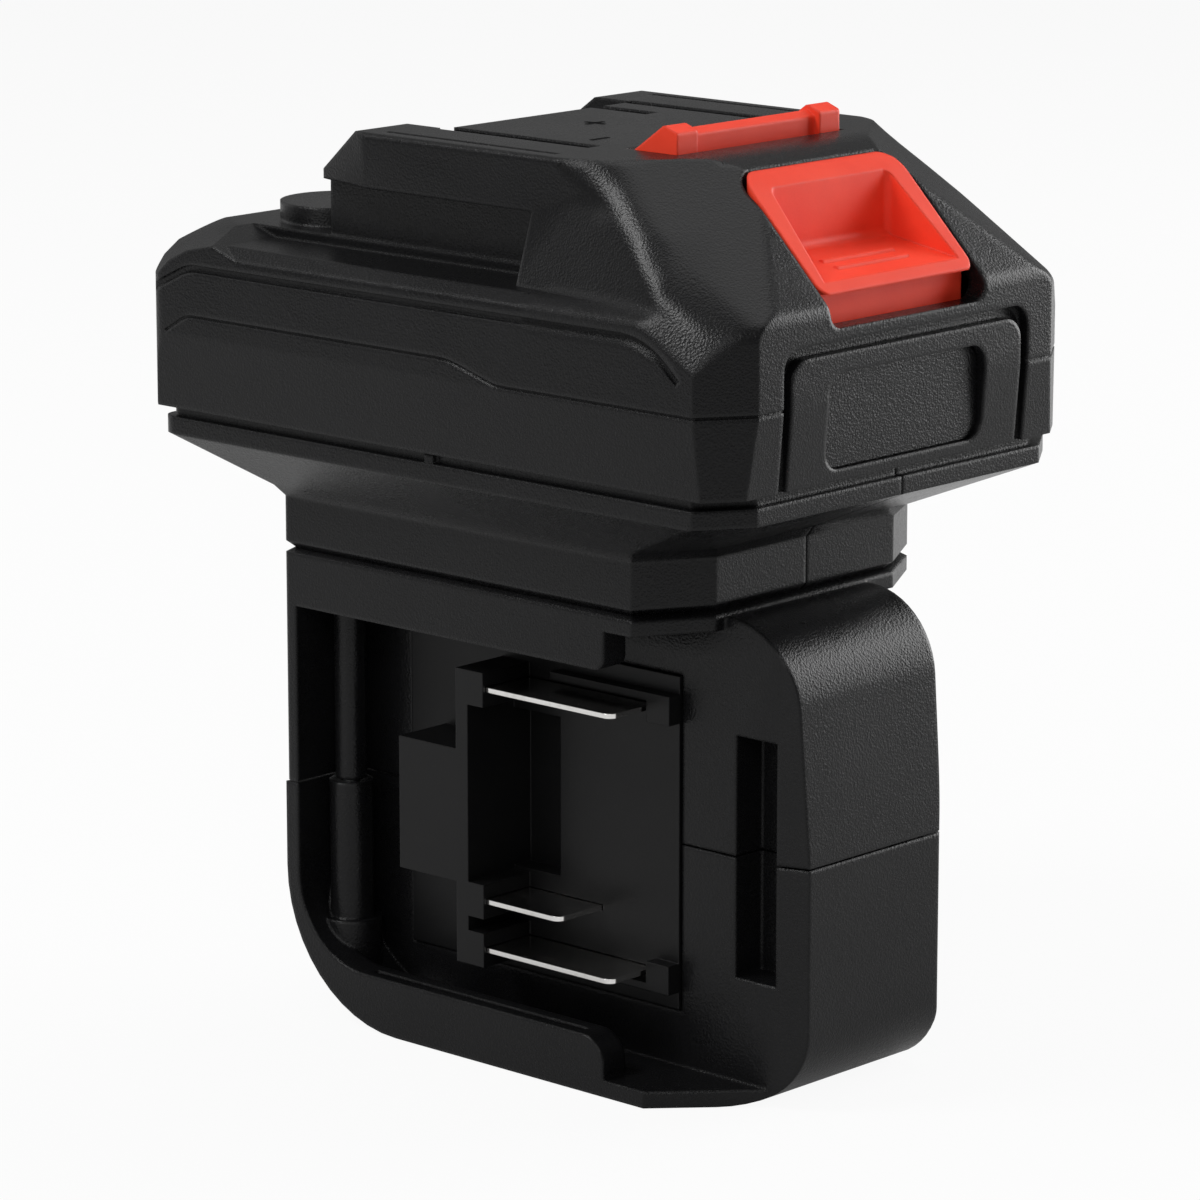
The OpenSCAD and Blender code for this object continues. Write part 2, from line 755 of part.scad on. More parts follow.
module latch_arm() {
  half = min(button_w, hook_w)/2 - 0.6;
  intersection() {
    slab([x_hook, -half, z_latch - arm_t], [x_button + over, half, z_latch]);
    along_y(-half, half) polygon(head_side(wall + 2*latch_top_gap));
  }
}
// Hook bar: ramp to the back, upright face to the front, end blocks that stand a little proud
function hook_profile(drop, setback) =
  let (low = z_latch - arm_t, high = z_top + hook_h - drop, front = x_hook + hook_run - setback)
  [[x_hook, low], [front, low], [front, high - hook_fall], [x_hook + hook_apex, high], [x_hook, z_top - 0.4]];
module hook_bar() {
  end_w = 4.2;
  along_y(-hook_w/2 + 0.4, hook_w/2 - 0.4) polygon(rounded(hook_profile(0.7, 1), [0, 0, 0.5, 0.6, 0]));
  for (side = [-1, 1])
    along_y(side*(hook_w - end_w)/2 - end_w/2, side*(hook_w - end_w)/2 + end_w/2)
      polygon(rounded(hook_profile(0, 0), [0, 0, 0.6, 0.7, 0]));
}

// Coil with flat-laid end turns, swept as one tube of six sides
function tube_faces(rings, sides) = concat(
  [for (i = [0:rings - 2], j = [0:sides - 1])
    [i*sides + j, (i + 1)*sides + j, (i + 1)*sides + (j + 1) % sides]],
  [for (i = [0:rings - 2], j = [0:sides - 1])
    [i*sides + j, (i + 1)*sides + (j + 1) % sides, i*sides + (j + 1) % sides]],
  [for (j = [1:sides - 2]) [0, j, j + 1]],
  [for (j = [1:sides - 2]) [(rings - 1)*sides, (rings - 1)*sides + j + 1, (rings - 1)*sides + j]]);
module coil_spring(d, wire, turns, length) {
  per_turn = 8;
  sides = 6;
  count = turns*per_turn;
  rise = (length - wire)/count;
  points = [for (i = [0:count], j = [0:sides - 1])
    let (a = 360*i/per_turn, b = 360*j/sides, r = d/2 + wire/2*cos(b))
    [r*cos(a), r*sin(a), wire/2 + i*rise + wire/2*sin(b)]];
  polyhedron(points, tube_faces(count + 1, sides), convexity = 10);
}
module latch_springs() {
  color([0.75, 0.76, 0.78])
  for (side = [-1, 1])
    translate([spring_x, side*spring_y, z_seat])
      coil_spring(spring_d, spring_wire, spring_turns, z_latch_foot + peg_h - z_seat);
}

// Insulator under the plug platform, with a trough for each contact
module contact_carrier() {
  half = core_w/2 - wall - carrier_gap;
  color([0.1, 0.1, 0.1])
  difference() {
    slab([contact_x - 1, -half, z_carrier], [contact_x + contact_l + 5, half, z_carrier + carrier_t]);
    for (k = [0:2])
      translate([contact_x, contact_rows[k], z_carrier + carrier_t - contact_base])
        slab([-fit, -contact_w/2 - fit, 0], [contact_lengths[k] + fit, contact_w/2 + fit, contact_base + over]);
    for (k = [0:2])
      translate([contact_x + 2, contact_rows[k], z_carrier - over])
        slab([-fit, -1 - fit, 0], [tail_w + fit, 1 + fit, carrier_t + 2*over]);
    for (p = carrier_points)
      translate([p.x, p.y, z_carrier - over]) cylinder(d = shank_hole, h = carrier_t + 2*over);
  }
}
contact_w = 2*contact_t + contact_gap + 1;
tail_w = 2.4;
// Spring contact: base, two leaves that pinch a blade, solder tail
module contact(k) {
  length = contact_lengths[k];
  base_z = z_carrier + carrier_t - contact_base;
  leaf_y = contact_gap/2;
  translate([contact_x, contact_rows[k], 0]) {
    slab([0, -contact_w/2, base_z], [length, contact_w/2, base_z + contact_base]);
    for (side = [-1, 1])
      mirror([0, side < 0 ? 1 : 0, 0])
        along_x(0, length)
          polygon([[leaf_y + 0.5, base_z + contact_base - skin], [leaf_y + 0.5 + contact_t, base_z + contact_base - skin],
            [leaf_y + contact_t - 0.2, base_z + contact_h - 2], [leaf_y + contact_t + 0.2, base_z + contact_h],
            [leaf_y + 0.2, base_z + contact_h], [leaf_y - 0.2, base_z + contact_h - 2]]);
    slab([2, -1, z_carrier - tail_l], [2 + tail_w, 1, base_z + skin]);
  }
}
module contact_positive() {
  color([0.85, 0.7, 0.4]) contact(0);
}
module contact_negative() {
  color([0.85, 0.7, 0.4]) contact(1);
}
module contact_signal() {
  color([0.85, 0.7, 0.4]) contact(2);
}

// Collar and neck: a flared tray with a tongue on its rim and a floor that grips the spigot of the foot
vee = 1;
flare_lift = 1.6;
flare_out = 1.2;
module collar_outer() {
  along_z(z_band, z_rim) collar_plan(0);
  hull() {
    along_z(z_band, z_band + skin) collar_plan(0);
    along_z(z_flare + flare_lift, z_flare + flare_lift + skin) neck_plan(-flare_out);
  }
  hull() {
    along_z(z_flare + flare_lift, z_flare + flare_lift + skin) neck_plan(-flare_out);
    along_z(z_flare, z_flare + skin) neck_plan(0);
  }
  along_z(z_neck + vee, z_flare + skin) neck_plan(0);
  hull() {
    along_z(z_neck + vee, z_neck + vee + skin) neck_plan(0);
    along_z(z_neck, z_neck + skin) neck_plan(vee);
  }
}
module collar_inner() {
  hull() {
    along_z(z_rim, z_rim + over) collar_plan(2*wall);
    along_z(z_flare + wall, z_flare + wall + skin) neck_plan(wall);
  }
  along_z(z_neck + neck_floor, z_flare + 2*wall) neck_plan(wall);
  slab([-spigot_x - rim_gap, -spigot_y - rim_gap, z_neck - over],
    [spigot_x + rim_gap, spigot_y + rim_gap, z_neck + neck_floor + over]);
}
module collar_tongue() {
  along_z(z_rim - over, z_body + lap_h)
    difference() {
      collar_plan(wall/2);
      collar_plan(wall/2 + 1.4);
    }
  catches(0);
  tab_w = 1.6;
  intersection() {
    along_z(z_rim - skin, z_body - 0.2) collar_plan(0.4);
    for (side = [-1, 1])
      slab([-tab_w/2, side*half_w - 3.4, z_rim - over], [tab_w/2, side*half_w + 3.4, z_body]);
  }
}
// Two hooks at the front that snap into pockets behind the front wall
catch_y = 21;
catch_h = 6;
catch_nose = 0.8;
module catches(gap) {
  for (side = [-1, 1]) {
    slab([x_front - 2.4, side*catch_y - 2.4, z_rim - over], [x_front - 0.5, side*catch_y + 2.4, z_body + catch_h + 2]);
    slab([x_front - over, side*catch_y - 2.4 - gap, z_body + catch_h - gap],
      [x_front + catch_nose + gap, side*catch_y + 2.4 + gap, z_body + catch_h + 2 + gap]);
  }
}
module collar() {
  difference() {
    union() {
      difference() {
        collar_outer();
        collar_inner();
      }
      collar_tongue();
      collar_posts();
    }
    collar_holes();
  }
}
// Screw sleeves, spring seats and the bosses of the neck screws
case_head_z = z_band - 0.8;
module collar_posts() {
  intersection() {
    union() {
      for (y = [-case_y, case_y])
        translate([-case_x, y, z_flare]) cylinder(d = sleeve_d, h = z_rim - z_flare);
      for (side = [-1, 1])
        translate([spring_x, side*spring_y, z_flare]) {
          cylinder(d = spring_d + spring_wire + 2, h = z_seat - z_flare);
          cylinder(d = peg_d, h = z_seat - z_flare + peg_h);
        }
      for (x = [-neck_screw_x, neck_screw_x])
        translate([x, 0, neck_screw_z]) rotate([90, 0, 0]) cylinder(d = post_d, h = neck_w - wall, center = true);
    }
    union() {
      collar_outer();
      along_z(z_rim - skin, z_top) collar_plan(2*wall);
    }
  }
}
neck_screw_z = z_neck + neck_floor + post_d/2 - 1;
module collar_holes() {
  for (y = [-case_y, case_y]) {
    translate([-case_x, y, z_neck]) cylinder(d = head_d + 2*head_gap, h = case_head_z - z_neck);
    translate([-case_x, y, z_neck]) cylinder(d = shank_hole, h = z_body - z_neck);
  }
  for (x = [-neck_screw_x, neck_screw_x])
    translate([x, 0, neck_screw_z]) rotate([-90, 0, 0]) {
      translate([0, 0, neck_w/2 - head_t - 1]) cylinder(d = head_d + 2*head_gap, h = head_t + 1 + over);
      cylinder(d = shank_hole, h = neck_w/2);
      translate([0, 0, -10]) cylinder(d = pilot_d, h = 10);
    }
}
module collar_left() {
  color([0.15, 0.15, 0.16])
  intersection() {
    collar();
    slab([-big, -big, 0], [big, -split_gap/2, big]);
  }
}
module collar_right() {
  color([0.15, 0.15, 0.16])
  intersection() {
    collar();
    slab([-big, split_gap/2, 0], [big, big, big]);
  }
}

// Side profile of the foot, and the same moved in by the wall
function foot_side(inset, top) =
  rounded(
    [[x_heel + inset, inset], [x_toe - inset, inset], [x_toe - inset, z_part],
      [x_toe - instep_lean - inset, top - inset], [x_heel + inset, top - inset]],
    [max(heel_r - inset, 1), max(toe_r - inset, 1), 0, max(instep_r - inset, 1), 0]);
module foot_plan() {
  polygon(rounded(
    [[x_heel, floor_y], [x_toe - edge_x, floor_y], [x_toe, floor_y + edge_y], [x_toe, far_y], [x_heel, far_y]],
    [0, 0, 0, toe_edge_r, far_r]));
}
module cheek_plan() {
  polygon([[x_heel, lip_y], [cheek_x, lip_y], [cheek_x + cheek_run, floor_y + skin], [x_heel, floor_y + skin]]);
}
module foot_outer() {
  intersection() {
    along_y(floor_y, far_y) polygon(foot_side(0, foot_top));
    along_z(0, foot_h) foot_plan();
  }
  difference() {
    intersection() {
      along_y(lip_y, floor_y + skin) polygon(foot_side(0, foot_h));
      union() {
        along_z(0, z_part) cheek_plan();
        along_z(z_part - skin, foot_h) neck_plan(0);
      }
    }
    along_y(lip_y - over, floor_y)
      polygon(rounded(
        [[x_seat, lip_low], [x_lip_end, lip_low], [x_lip_end, seat_low], [x_toe + over, seat_low],
          [x_toe + over, seat_high], [x_lip_end, seat_high], [x_lip_end, lip_high], [x_seat, lip_high]],
        [max(heel_r - 9, 2), lip_corner_r, 0, 0, 0, 0, upper_lip_r, 0]));
    along_y(lip_y + lip_t, floor_y)
      polygon(rounded(
        [[x_seat, seat_low], [x_toe + over, seat_low], [x_toe + over, seat_high], [x_seat, seat_high]],
        [max(heel_r - wall, 2), 0, 0, 0]));
  }
  along_z(foot_h - plate_t, foot_h) neck_plan(0);
}
// Bevel round the top edge of the plate, the lower half of the groove under the neck
module plate_bevel() {
  bevel_h = 0.7;
  difference() {
    along_z(foot_h - bevel_h, foot_h + over) square(big, center = true);
    hull() {
      along_z(foot_h - bevel_h - skin, foot_h - bevel_h) neck_plan(0);
      along_z(foot_h + over, foot_h + over + skin) neck_plan(vee*(bevel_h + over)/bevel_h);
    }
  }
}
// Hollow behind the floor, the way through the spigot, the terminal window and the latch recess
module foot_hollow() {
  intersection() {
    along_y(floor_y + wall, far_y - wall) polygon(foot_side(wall, foot_top));
    slab([x_heel + wall, -big, wall], [x_toe - wall, big, foot_h - wall]);
  }
  slab([-spigot_x + spigot_wall, -spigot_y + spigot_wall, foot_h - 2*wall],
    [spigot_x - spigot_wall, spigot_y - spigot_wall, foot_h + spigot_h + over]);
}
module spigot() {
  along_z(foot_h - over, foot_h + spigot_h) square([2*spigot_x, 2*spigot_y], center = true);
  along_z(foot_h + neck_floor + rim_gap, foot_h + spigot_h)
    square([2*(spigot_x + spigot_rim), 2*(spigot_y + spigot_rim)], center = true);
}
module foot_posts() {
  for (p = foot_points) {
    translate([p.x, p.y, 0]) cylinder(d = sleeve_d, h = foot_head_z + 2);
    translate([p.x, p.y, 0]) cylinder(d = pillar_d, h = z_part);
    translate([p.x, p.y, z_part]) cylinder(d = pillar_d - 1.8, h = foot_h - z_part);
  }
  intersection() {
    slab([catch_x - catch_wall, floor_y, z_part - catch_w/2 - catch_wall],
      [catch_x + catch_l + catch_wall, floor_y + catch_depth + catch_wall, z_part + catch_w/2 + catch_wall]);
    along_z(0, foot_h) foot_plan();
  }
}
foot_head_z = 12;
// Fine grooves along the inner faces of the lips
module lip_grooves() {
  groove_w = 0.9;
  groove_depth = 0.8;
  y = lip_y + 1.7;
  for (z = [lip_low, lip_high])
    slab([x_heel + 16, y, z - groove_depth], [x_lip_end - lip_corner_r - 1, y + groove_w, z + groove_depth]);
}
module foot_holes() {
  lip_grooves();
  plate_bevel();
  for (p = foot_points)
    translate([p.x, p.y, -over]) {
      cylinder(d = head_d + 2*head_gap, h = foot_head_z + over);
      cylinder(d = shank_hole, h = z_part + over);
      cylinder(d = pilot_d, h = z_part + 14 + over);
    }
  slab([catch_x, floor_y - over, z_part - catch_w/2], [catch_x + catch_l, floor_y + catch_depth, z_part + catch_w/2]);
  slab([block_x - block_gap, floor_y - over, z_part - block_w/2 - block_margin - block_gap],
    [block_x + block_l + block_gap, floor_y + wall + over, z_part + block_w/2 + block_margin + block_gap]);
}
module foot() {
  difference() {
    union() {
      difference() {
        foot_outer();
        foot_hollow();
      }
      difference() {
        spigot();
        foot_hollow();
      }
      intersection() {
        foot_posts();
        union() {
          along_y(lip_y, far_y) polygon(foot_side(skin, foot_top));
        }
      }
    }
    foot_holes();
  }
}
module socket_upper_shell() {
  color([0.15, 0.15, 0.16])
  intersection() {
    foot();
    slab([-big, -big, z_part + split_gap/2], [big, big, big]);
  }
}
module socket_lower_shell() {
  color([0.15, 0.15, 0.16])
  intersection() {
    foot();
    slab([-big, -big, -big], [big, big, z_part - split_gap/2]);
  }
}

// Terminal block: plate in the window, rim behind it, blade column and the block that keys the pack
module terminal_block() {
  proud = floor_y - blade_reach;
  low = z_part - block_w/2;
  high = z_part + block_w/2;
  ledge_t = 1.1;
  ledge_reach = 2.6;
  post_l = 4.2;
  well = 3;
  well_low = z_part - signal_offset + clamp_w/2 + 0.6;
  color([0.1, 0.1, 0.11])
  difference() {
    union() {
      slab([block_x, floor_y - 0.4, low - block_margin], [block_x + block_l, floor_y + wall + 0.1, high + block_margin]);
      slab([block_x - block_rim, floor_y + wall + 0.1, low - block_margin - block_rim],
        [block_x + block_l + block_rim, floor_y + wall + 0.1 + block_rim_t, high + block_margin + block_rim]);
      slab([column_x, proud, low], [column_x + column_t, floor_y, high]);
      for (z = blade_levels)
        slab([column_x, proud, z - clamp_w/2], [column_x + clamp_l, floor_y, z + clamp_w/2]);
      slab([block_x + 6.8, proud, z_part - nose_block_w/2], [column_x + skin, floor_y, z_part + nose_block_w/2]);
      for (z = [low, high - ledge_t])
        slab([column_x + clamp_l + 6, floor_y - ledge_reach, z], [block_x + block_l, floor_y, z + ledge_t]);
      for (z = [low, high - post_l])
        slab([block_x + block_l - post_l, floor_y - ledge_reach, z], [block_x + block_l, floor_y, z + post_l]);
    }
    slab([column_x + column_t, floor_y - over, well_low], [column_x + clamp_l + 6, floor_y + well, high - 7]);
    for (k = [0:2])
      blade_space(k, fit/2);
  }
}
// A blade with the room around it: the part that stands in the seat and the solder tab behind
module blade_space(k, gap) {
  z = blade_levels[k];
  x0 = column_x + 1.2;
  x1 = blade_x + blade_lengths[k];
  slab([x0 - gap, floor_y - blade_reach + 0.6 - gap, z - blade_t/2 - gap],
    [x1 + gap, floor_y + wall + 1 + gap, z + blade_t/2 + gap]);
  slab([blade_x + 2 - gap, floor_y, z - blade_t/2 - gap],
    [blade_x + 2 + tab_l + gap, floor_y + wall + tab_reach + gap, z + blade_t/2 + gap]);
}
module blade(k) {
  z = blade_levels[k];
  x0 = column_x + 1.2;
  x1 = blade_x + blade_lengths[k];
  tip = 1.4;
  y0 = floor_y - blade_reach + 0.6;
  y1 = floor_y + wall + 1;
  y2 = floor_y + wall + tab_reach;
  along_z(z - blade_t/2, z + blade_t/2)
    polygon(rounded(
      [[x0, y0], [x1, y0], [x1, y1], [blade_x + 2 + tab_l, y1], [blade_x + 2 + tab_l, y2], [blade_x + 2, y2],
        [blade_x + 2, y1], [x0, y1]],
      [0, tip, 0, 0, 0.6, 0.6, 0, 0]));
}
module blade_positive() {
  color([0.85, 0.85, 0.86]) blade(0);
}
module blade_negative() {
  color([0.85, 0.85, 0.86]) blade(1);
}
module blade_signal() {
  color([0.85, 0.85, 0.86]) blade(2);
}

// Leads from the solder tabs up through spigot and neck to the contact tails
wire_start_y = floor_y + wall + tab_reach + wire_d/2;
function tail_point(k) = [contact_x + 2 + tail_w/2, contact_rows[k], z_carrier - tail_l - wire_d/2];
function tab_point(k) = [blade_x + 2 + tab_l/2, wire_start_y, blade_levels[k]];
// Points of a smooth line through its knots, as cubic pieces with the slopes of their neighbours
function eased(knots, steps) =
  let (n = len(knots))
  concat([for (i = [0:n - 2], s = [0:steps - 1])
    let (t = s/steps, p = knots[i], q = knots[i + 1])
    let (u = (q - knots[max(i - 1, 0)])/2, v = (knots[min(i + 2, n - 1)] - p)/2)
    p*(2*t*t*t - 3*t*t + 1) + u*(t*t*t - 2*t*t + t) + q*(3*t*t - 2*t*t*t) + v*(t*t*t - t*t)], [knots[n - 1]]);
module lead(path, d) {
  sides = 8;
  n = len(path);
  points = [for (i = [0:n - 1], j = [0:sides - 1])
    let (along = unit(path[min(i + 1, n - 1)] - path[max(i - 1, 0)]))
    let (e = unit(cross(along, [1, 0.02, 0.01])), f = cross(along, e))
    path[i] + d/2*(cos(360*j/sides)*e + sin(360*j/sides)*f)];
  polyhedron(points, tube_faces(n, sides), convexity = 10);
}
lead_drop = 5;
lead_steps = 5;
module wire_positive() {
  knots = [tab_point(0), tab_point(0) + [0, 3, 3], [9, 0, foot_h - lead_drop], [8, 2, z_flare], [0, 15, z_rim], tail_point(0)];
  color([0.75, 0.1, 0.1]) lead(eased(knots, lead_steps), wire_d);
}
module wire_negative() {
  knots = [tab_point(1), tab_point(1) + [-4, 4, 4], [-4, 2, z_part], [-9, 0, foot_h - lead_drop], [-9, -2, z_flare],
    [-4, -15, z_rim], tail_point(1)];
  color([0.06, 0.06, 0.06]) lead(eased(knots, lead_steps), wire_d);
}
module wire_signal() {
  knots = [tab_point(2), tab_point(2) + [2, 4, 4], [3, 3, z_part + 8], [1, 0, foot_h - lead_drop], [0, 1, z_flare],
    [-3, 6, z_rim], tail_point(2)];
  color([0.9, 0.9, 0.85]) lead(eased(knots, lead_steps), wire_d*0.7);
}

// Pan-head screw along +Z from the underside of its head
module screw(length) {
  slot_w = 0.8;
  difference() {
    translate([0, 0, -head_t]) cylinder(d = head_d, h = head_t);
    for (a = [0, 90])
      rotate([0, 0, a]) translate([-head_d*0.3, -slot_w/2, -head_t - over]) cube([head_d*0.6, slot_w, over + head_t*0.55]);
  }
  cylinder(d = pilot_d, h = length);
}
module case_screws() {
  color([0.7, 0.71, 0.73])
  for (y = [-case_y, case_y])
    translate([-case_x, y, case_head_z]) screw(z_rim + 9 - case_head_z);
}
module neck_screws() {
  color([0.7, 0.71, 0.73])
  for (x = [-neck_screw_x, neck_screw_x])
    translate([x, neck_w/2 - head_t - 1, neck_screw_z]) rotate([90, 0, 0]) screw(neck_w/2 + 5);
}
module foot_screws() {
  color([0.7, 0.71, 0.73])
  for (p = foot_points)
    translate([p.x, p.y, foot_head_z]) screw(z_part + 11 - foot_head_z);
}
module carrier_screws() {
  color([0.7, 0.71, 0.73])
  for (p = carrier_points)
    translate([p.x, p.y, z_carrier]) screw(carrier_t + 6);
}

top_shell();
front_label();
release_latch();
latch_springs();
contact_carrier();
contact_positive();
contact_negative();
contact_signal();
collar_left();
collar_right();
socket_upper_shell();
socket_lower_shell();
terminal_block();
blade_positive();
blade_negative();
blade_signal();
wire_positive();
wire_negative();
wire_signal();
case_screws();
neck_screws();
foot_screws();
carrier_screws();
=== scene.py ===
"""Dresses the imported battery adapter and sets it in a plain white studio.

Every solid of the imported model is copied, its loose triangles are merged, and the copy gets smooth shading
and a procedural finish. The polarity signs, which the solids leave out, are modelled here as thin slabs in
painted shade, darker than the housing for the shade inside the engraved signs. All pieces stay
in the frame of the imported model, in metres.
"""

import json
import logging
import math
from dataclasses import dataclass, field, replace
from enum import Enum
from typing import Callable, Dict, List, Optional, Tuple, Union

import bpy
from mathutils import Matrix, Vector

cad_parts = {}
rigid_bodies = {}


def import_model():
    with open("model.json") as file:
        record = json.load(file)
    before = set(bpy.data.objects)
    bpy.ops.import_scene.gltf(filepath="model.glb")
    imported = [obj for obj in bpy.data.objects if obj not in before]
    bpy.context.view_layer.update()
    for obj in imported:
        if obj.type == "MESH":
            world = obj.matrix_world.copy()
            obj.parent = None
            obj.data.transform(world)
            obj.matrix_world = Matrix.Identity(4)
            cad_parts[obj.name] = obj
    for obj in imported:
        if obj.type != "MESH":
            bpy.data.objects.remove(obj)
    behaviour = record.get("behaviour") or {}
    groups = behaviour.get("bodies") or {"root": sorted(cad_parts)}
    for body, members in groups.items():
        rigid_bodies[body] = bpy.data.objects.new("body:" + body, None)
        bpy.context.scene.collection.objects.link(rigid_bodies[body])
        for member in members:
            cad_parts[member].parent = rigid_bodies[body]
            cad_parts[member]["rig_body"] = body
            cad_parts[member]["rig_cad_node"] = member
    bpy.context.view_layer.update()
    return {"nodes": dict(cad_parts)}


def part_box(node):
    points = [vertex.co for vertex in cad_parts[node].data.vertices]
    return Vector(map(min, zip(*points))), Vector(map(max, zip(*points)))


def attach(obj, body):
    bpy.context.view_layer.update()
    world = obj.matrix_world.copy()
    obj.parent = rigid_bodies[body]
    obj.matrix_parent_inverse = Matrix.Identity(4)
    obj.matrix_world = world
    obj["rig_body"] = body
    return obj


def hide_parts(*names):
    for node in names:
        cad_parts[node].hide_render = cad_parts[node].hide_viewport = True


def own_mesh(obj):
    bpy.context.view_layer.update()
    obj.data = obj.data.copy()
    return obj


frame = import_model()

log = logging.getLogger("adapter")

MM = 0.001
MERGE_GAP = 0.002 * MM
SHALLOW_DEGREES = 30.0
WHITE = (1.0, 1.0, 1.0, 1.0)
EVEN = (1.0, 1.0, 1.0)

Number = Union[int, float]
Point = Tuple[float, float, float]
Colour = Tuple[float, float, float]
Box = Tuple[Point, Point]


class Body(Enum):
    """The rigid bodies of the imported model."""

    ADAPTER = "adapter"
    LATCH = "latch"


class Axis(Enum):
    """The axes of the frame, by their place in a point."""

    X = 0
    Y = 1
    Z = 2


# Shader graphs


class Term:
    """A shader socket that can be used in Python expressions."""

    def __init__(self, graph: "NodeGraph", socket: bpy.types.NodeSocket) -> None:
        """Keeps the graph that new Math nodes go to and the socket that this term stands for."""
        self.graph = graph
        self.socket = socket

    def __add__(self, other: "Operand") -> "Term":
        """Sum."""
        return self.graph.math("ADD", self, other)

    def __radd__(self, other: "Operand") -> "Term":
        """Sum with a number in front."""
        return self.graph.math("ADD", other, self)

    def __sub__(self, other: "Operand") -> "Term":
        """Difference."""
        return self.graph.math("SUBTRACT", self, other)

    def __rsub__(self, other: "Operand") -> "Term":
        """Difference with a number in front."""
        return self.graph.math("SUBTRACT", other, self)

    def __mul__(self, other: "Operand") -> "Term":
        """Product."""
        return self.graph.math("MULTIPLY", self, other)

    def __rmul__(self, other: "Operand") -> "Term":
        """Product with a number in front."""
        return self.graph.math("MULTIPLY", other, self)


Operand = Union[Term, Number]
Sockets = Dict[Union[int, str], object]


class NodeGraph:
    """The node graph of a material or a world, built through a single method for nodes."""

    def __init__(self, owner: Union[bpy.types.Material, bpy.types.World], end: str) -> None:
        """Empties the owner's graph.

        Args:
            owner: The material or world.
            end: Type of its output node.
        """
        owner.use_nodes = True
        self.tree = owner.node_tree
        self.tree.nodes.clear()
        self.end = end

    def node(self, kind: str, settings: Dict[str, object], inputs: Sockets) -> bpy.types.Node:
        """Adds a node, sets it up and links it.

        Args:
            kind: Node type, such as ShaderNodeTexNoise.
            settings: Attributes of the node, which are set first.
            inputs: Value or term for each input socket, by name or place.

        Returns:
            The node.
        """
        node = self.tree.nodes.new(kind)
        for key, value in settings.items():
            setattr(node, key, value)
        for key, value in inputs.items():
            if isinstance(value, Term):
                self.tree.links.new(value.socket, node.inputs[key])
            else:
                node.inputs[key].default_value = value
        return node

    def add(
        self, kind: str, settings: Dict[str, object], inputs: Sockets, output: Union[int, str] = 0
    ) -> Term:
        """Adds a node through the method above and gives one of its outputs as a term."""
        return Term(self, self.node(kind, settings, inputs).outputs[output])

    def math(self, operation: str, first: Operand, second: Operand = 0.0) -> Term:
        """Adds a Math node for an operation on one or two values."""
        return self.add("ShaderNodeMath", {"operation": operation}, {0: first, 1: second})

    def mixed(self, share: Operand, first: Term, second: Term) -> Term:
        """Mixes two shaders, with the given share of the second."""
        return self.add("ShaderNodeMixShader", {}, {0: share, 1: first, 2: second})

    def show(self, shader: Term) -> None:
        """Adds the output with a shader linked to it."""
        self.node(self.end, {}, {"Surface": shader})


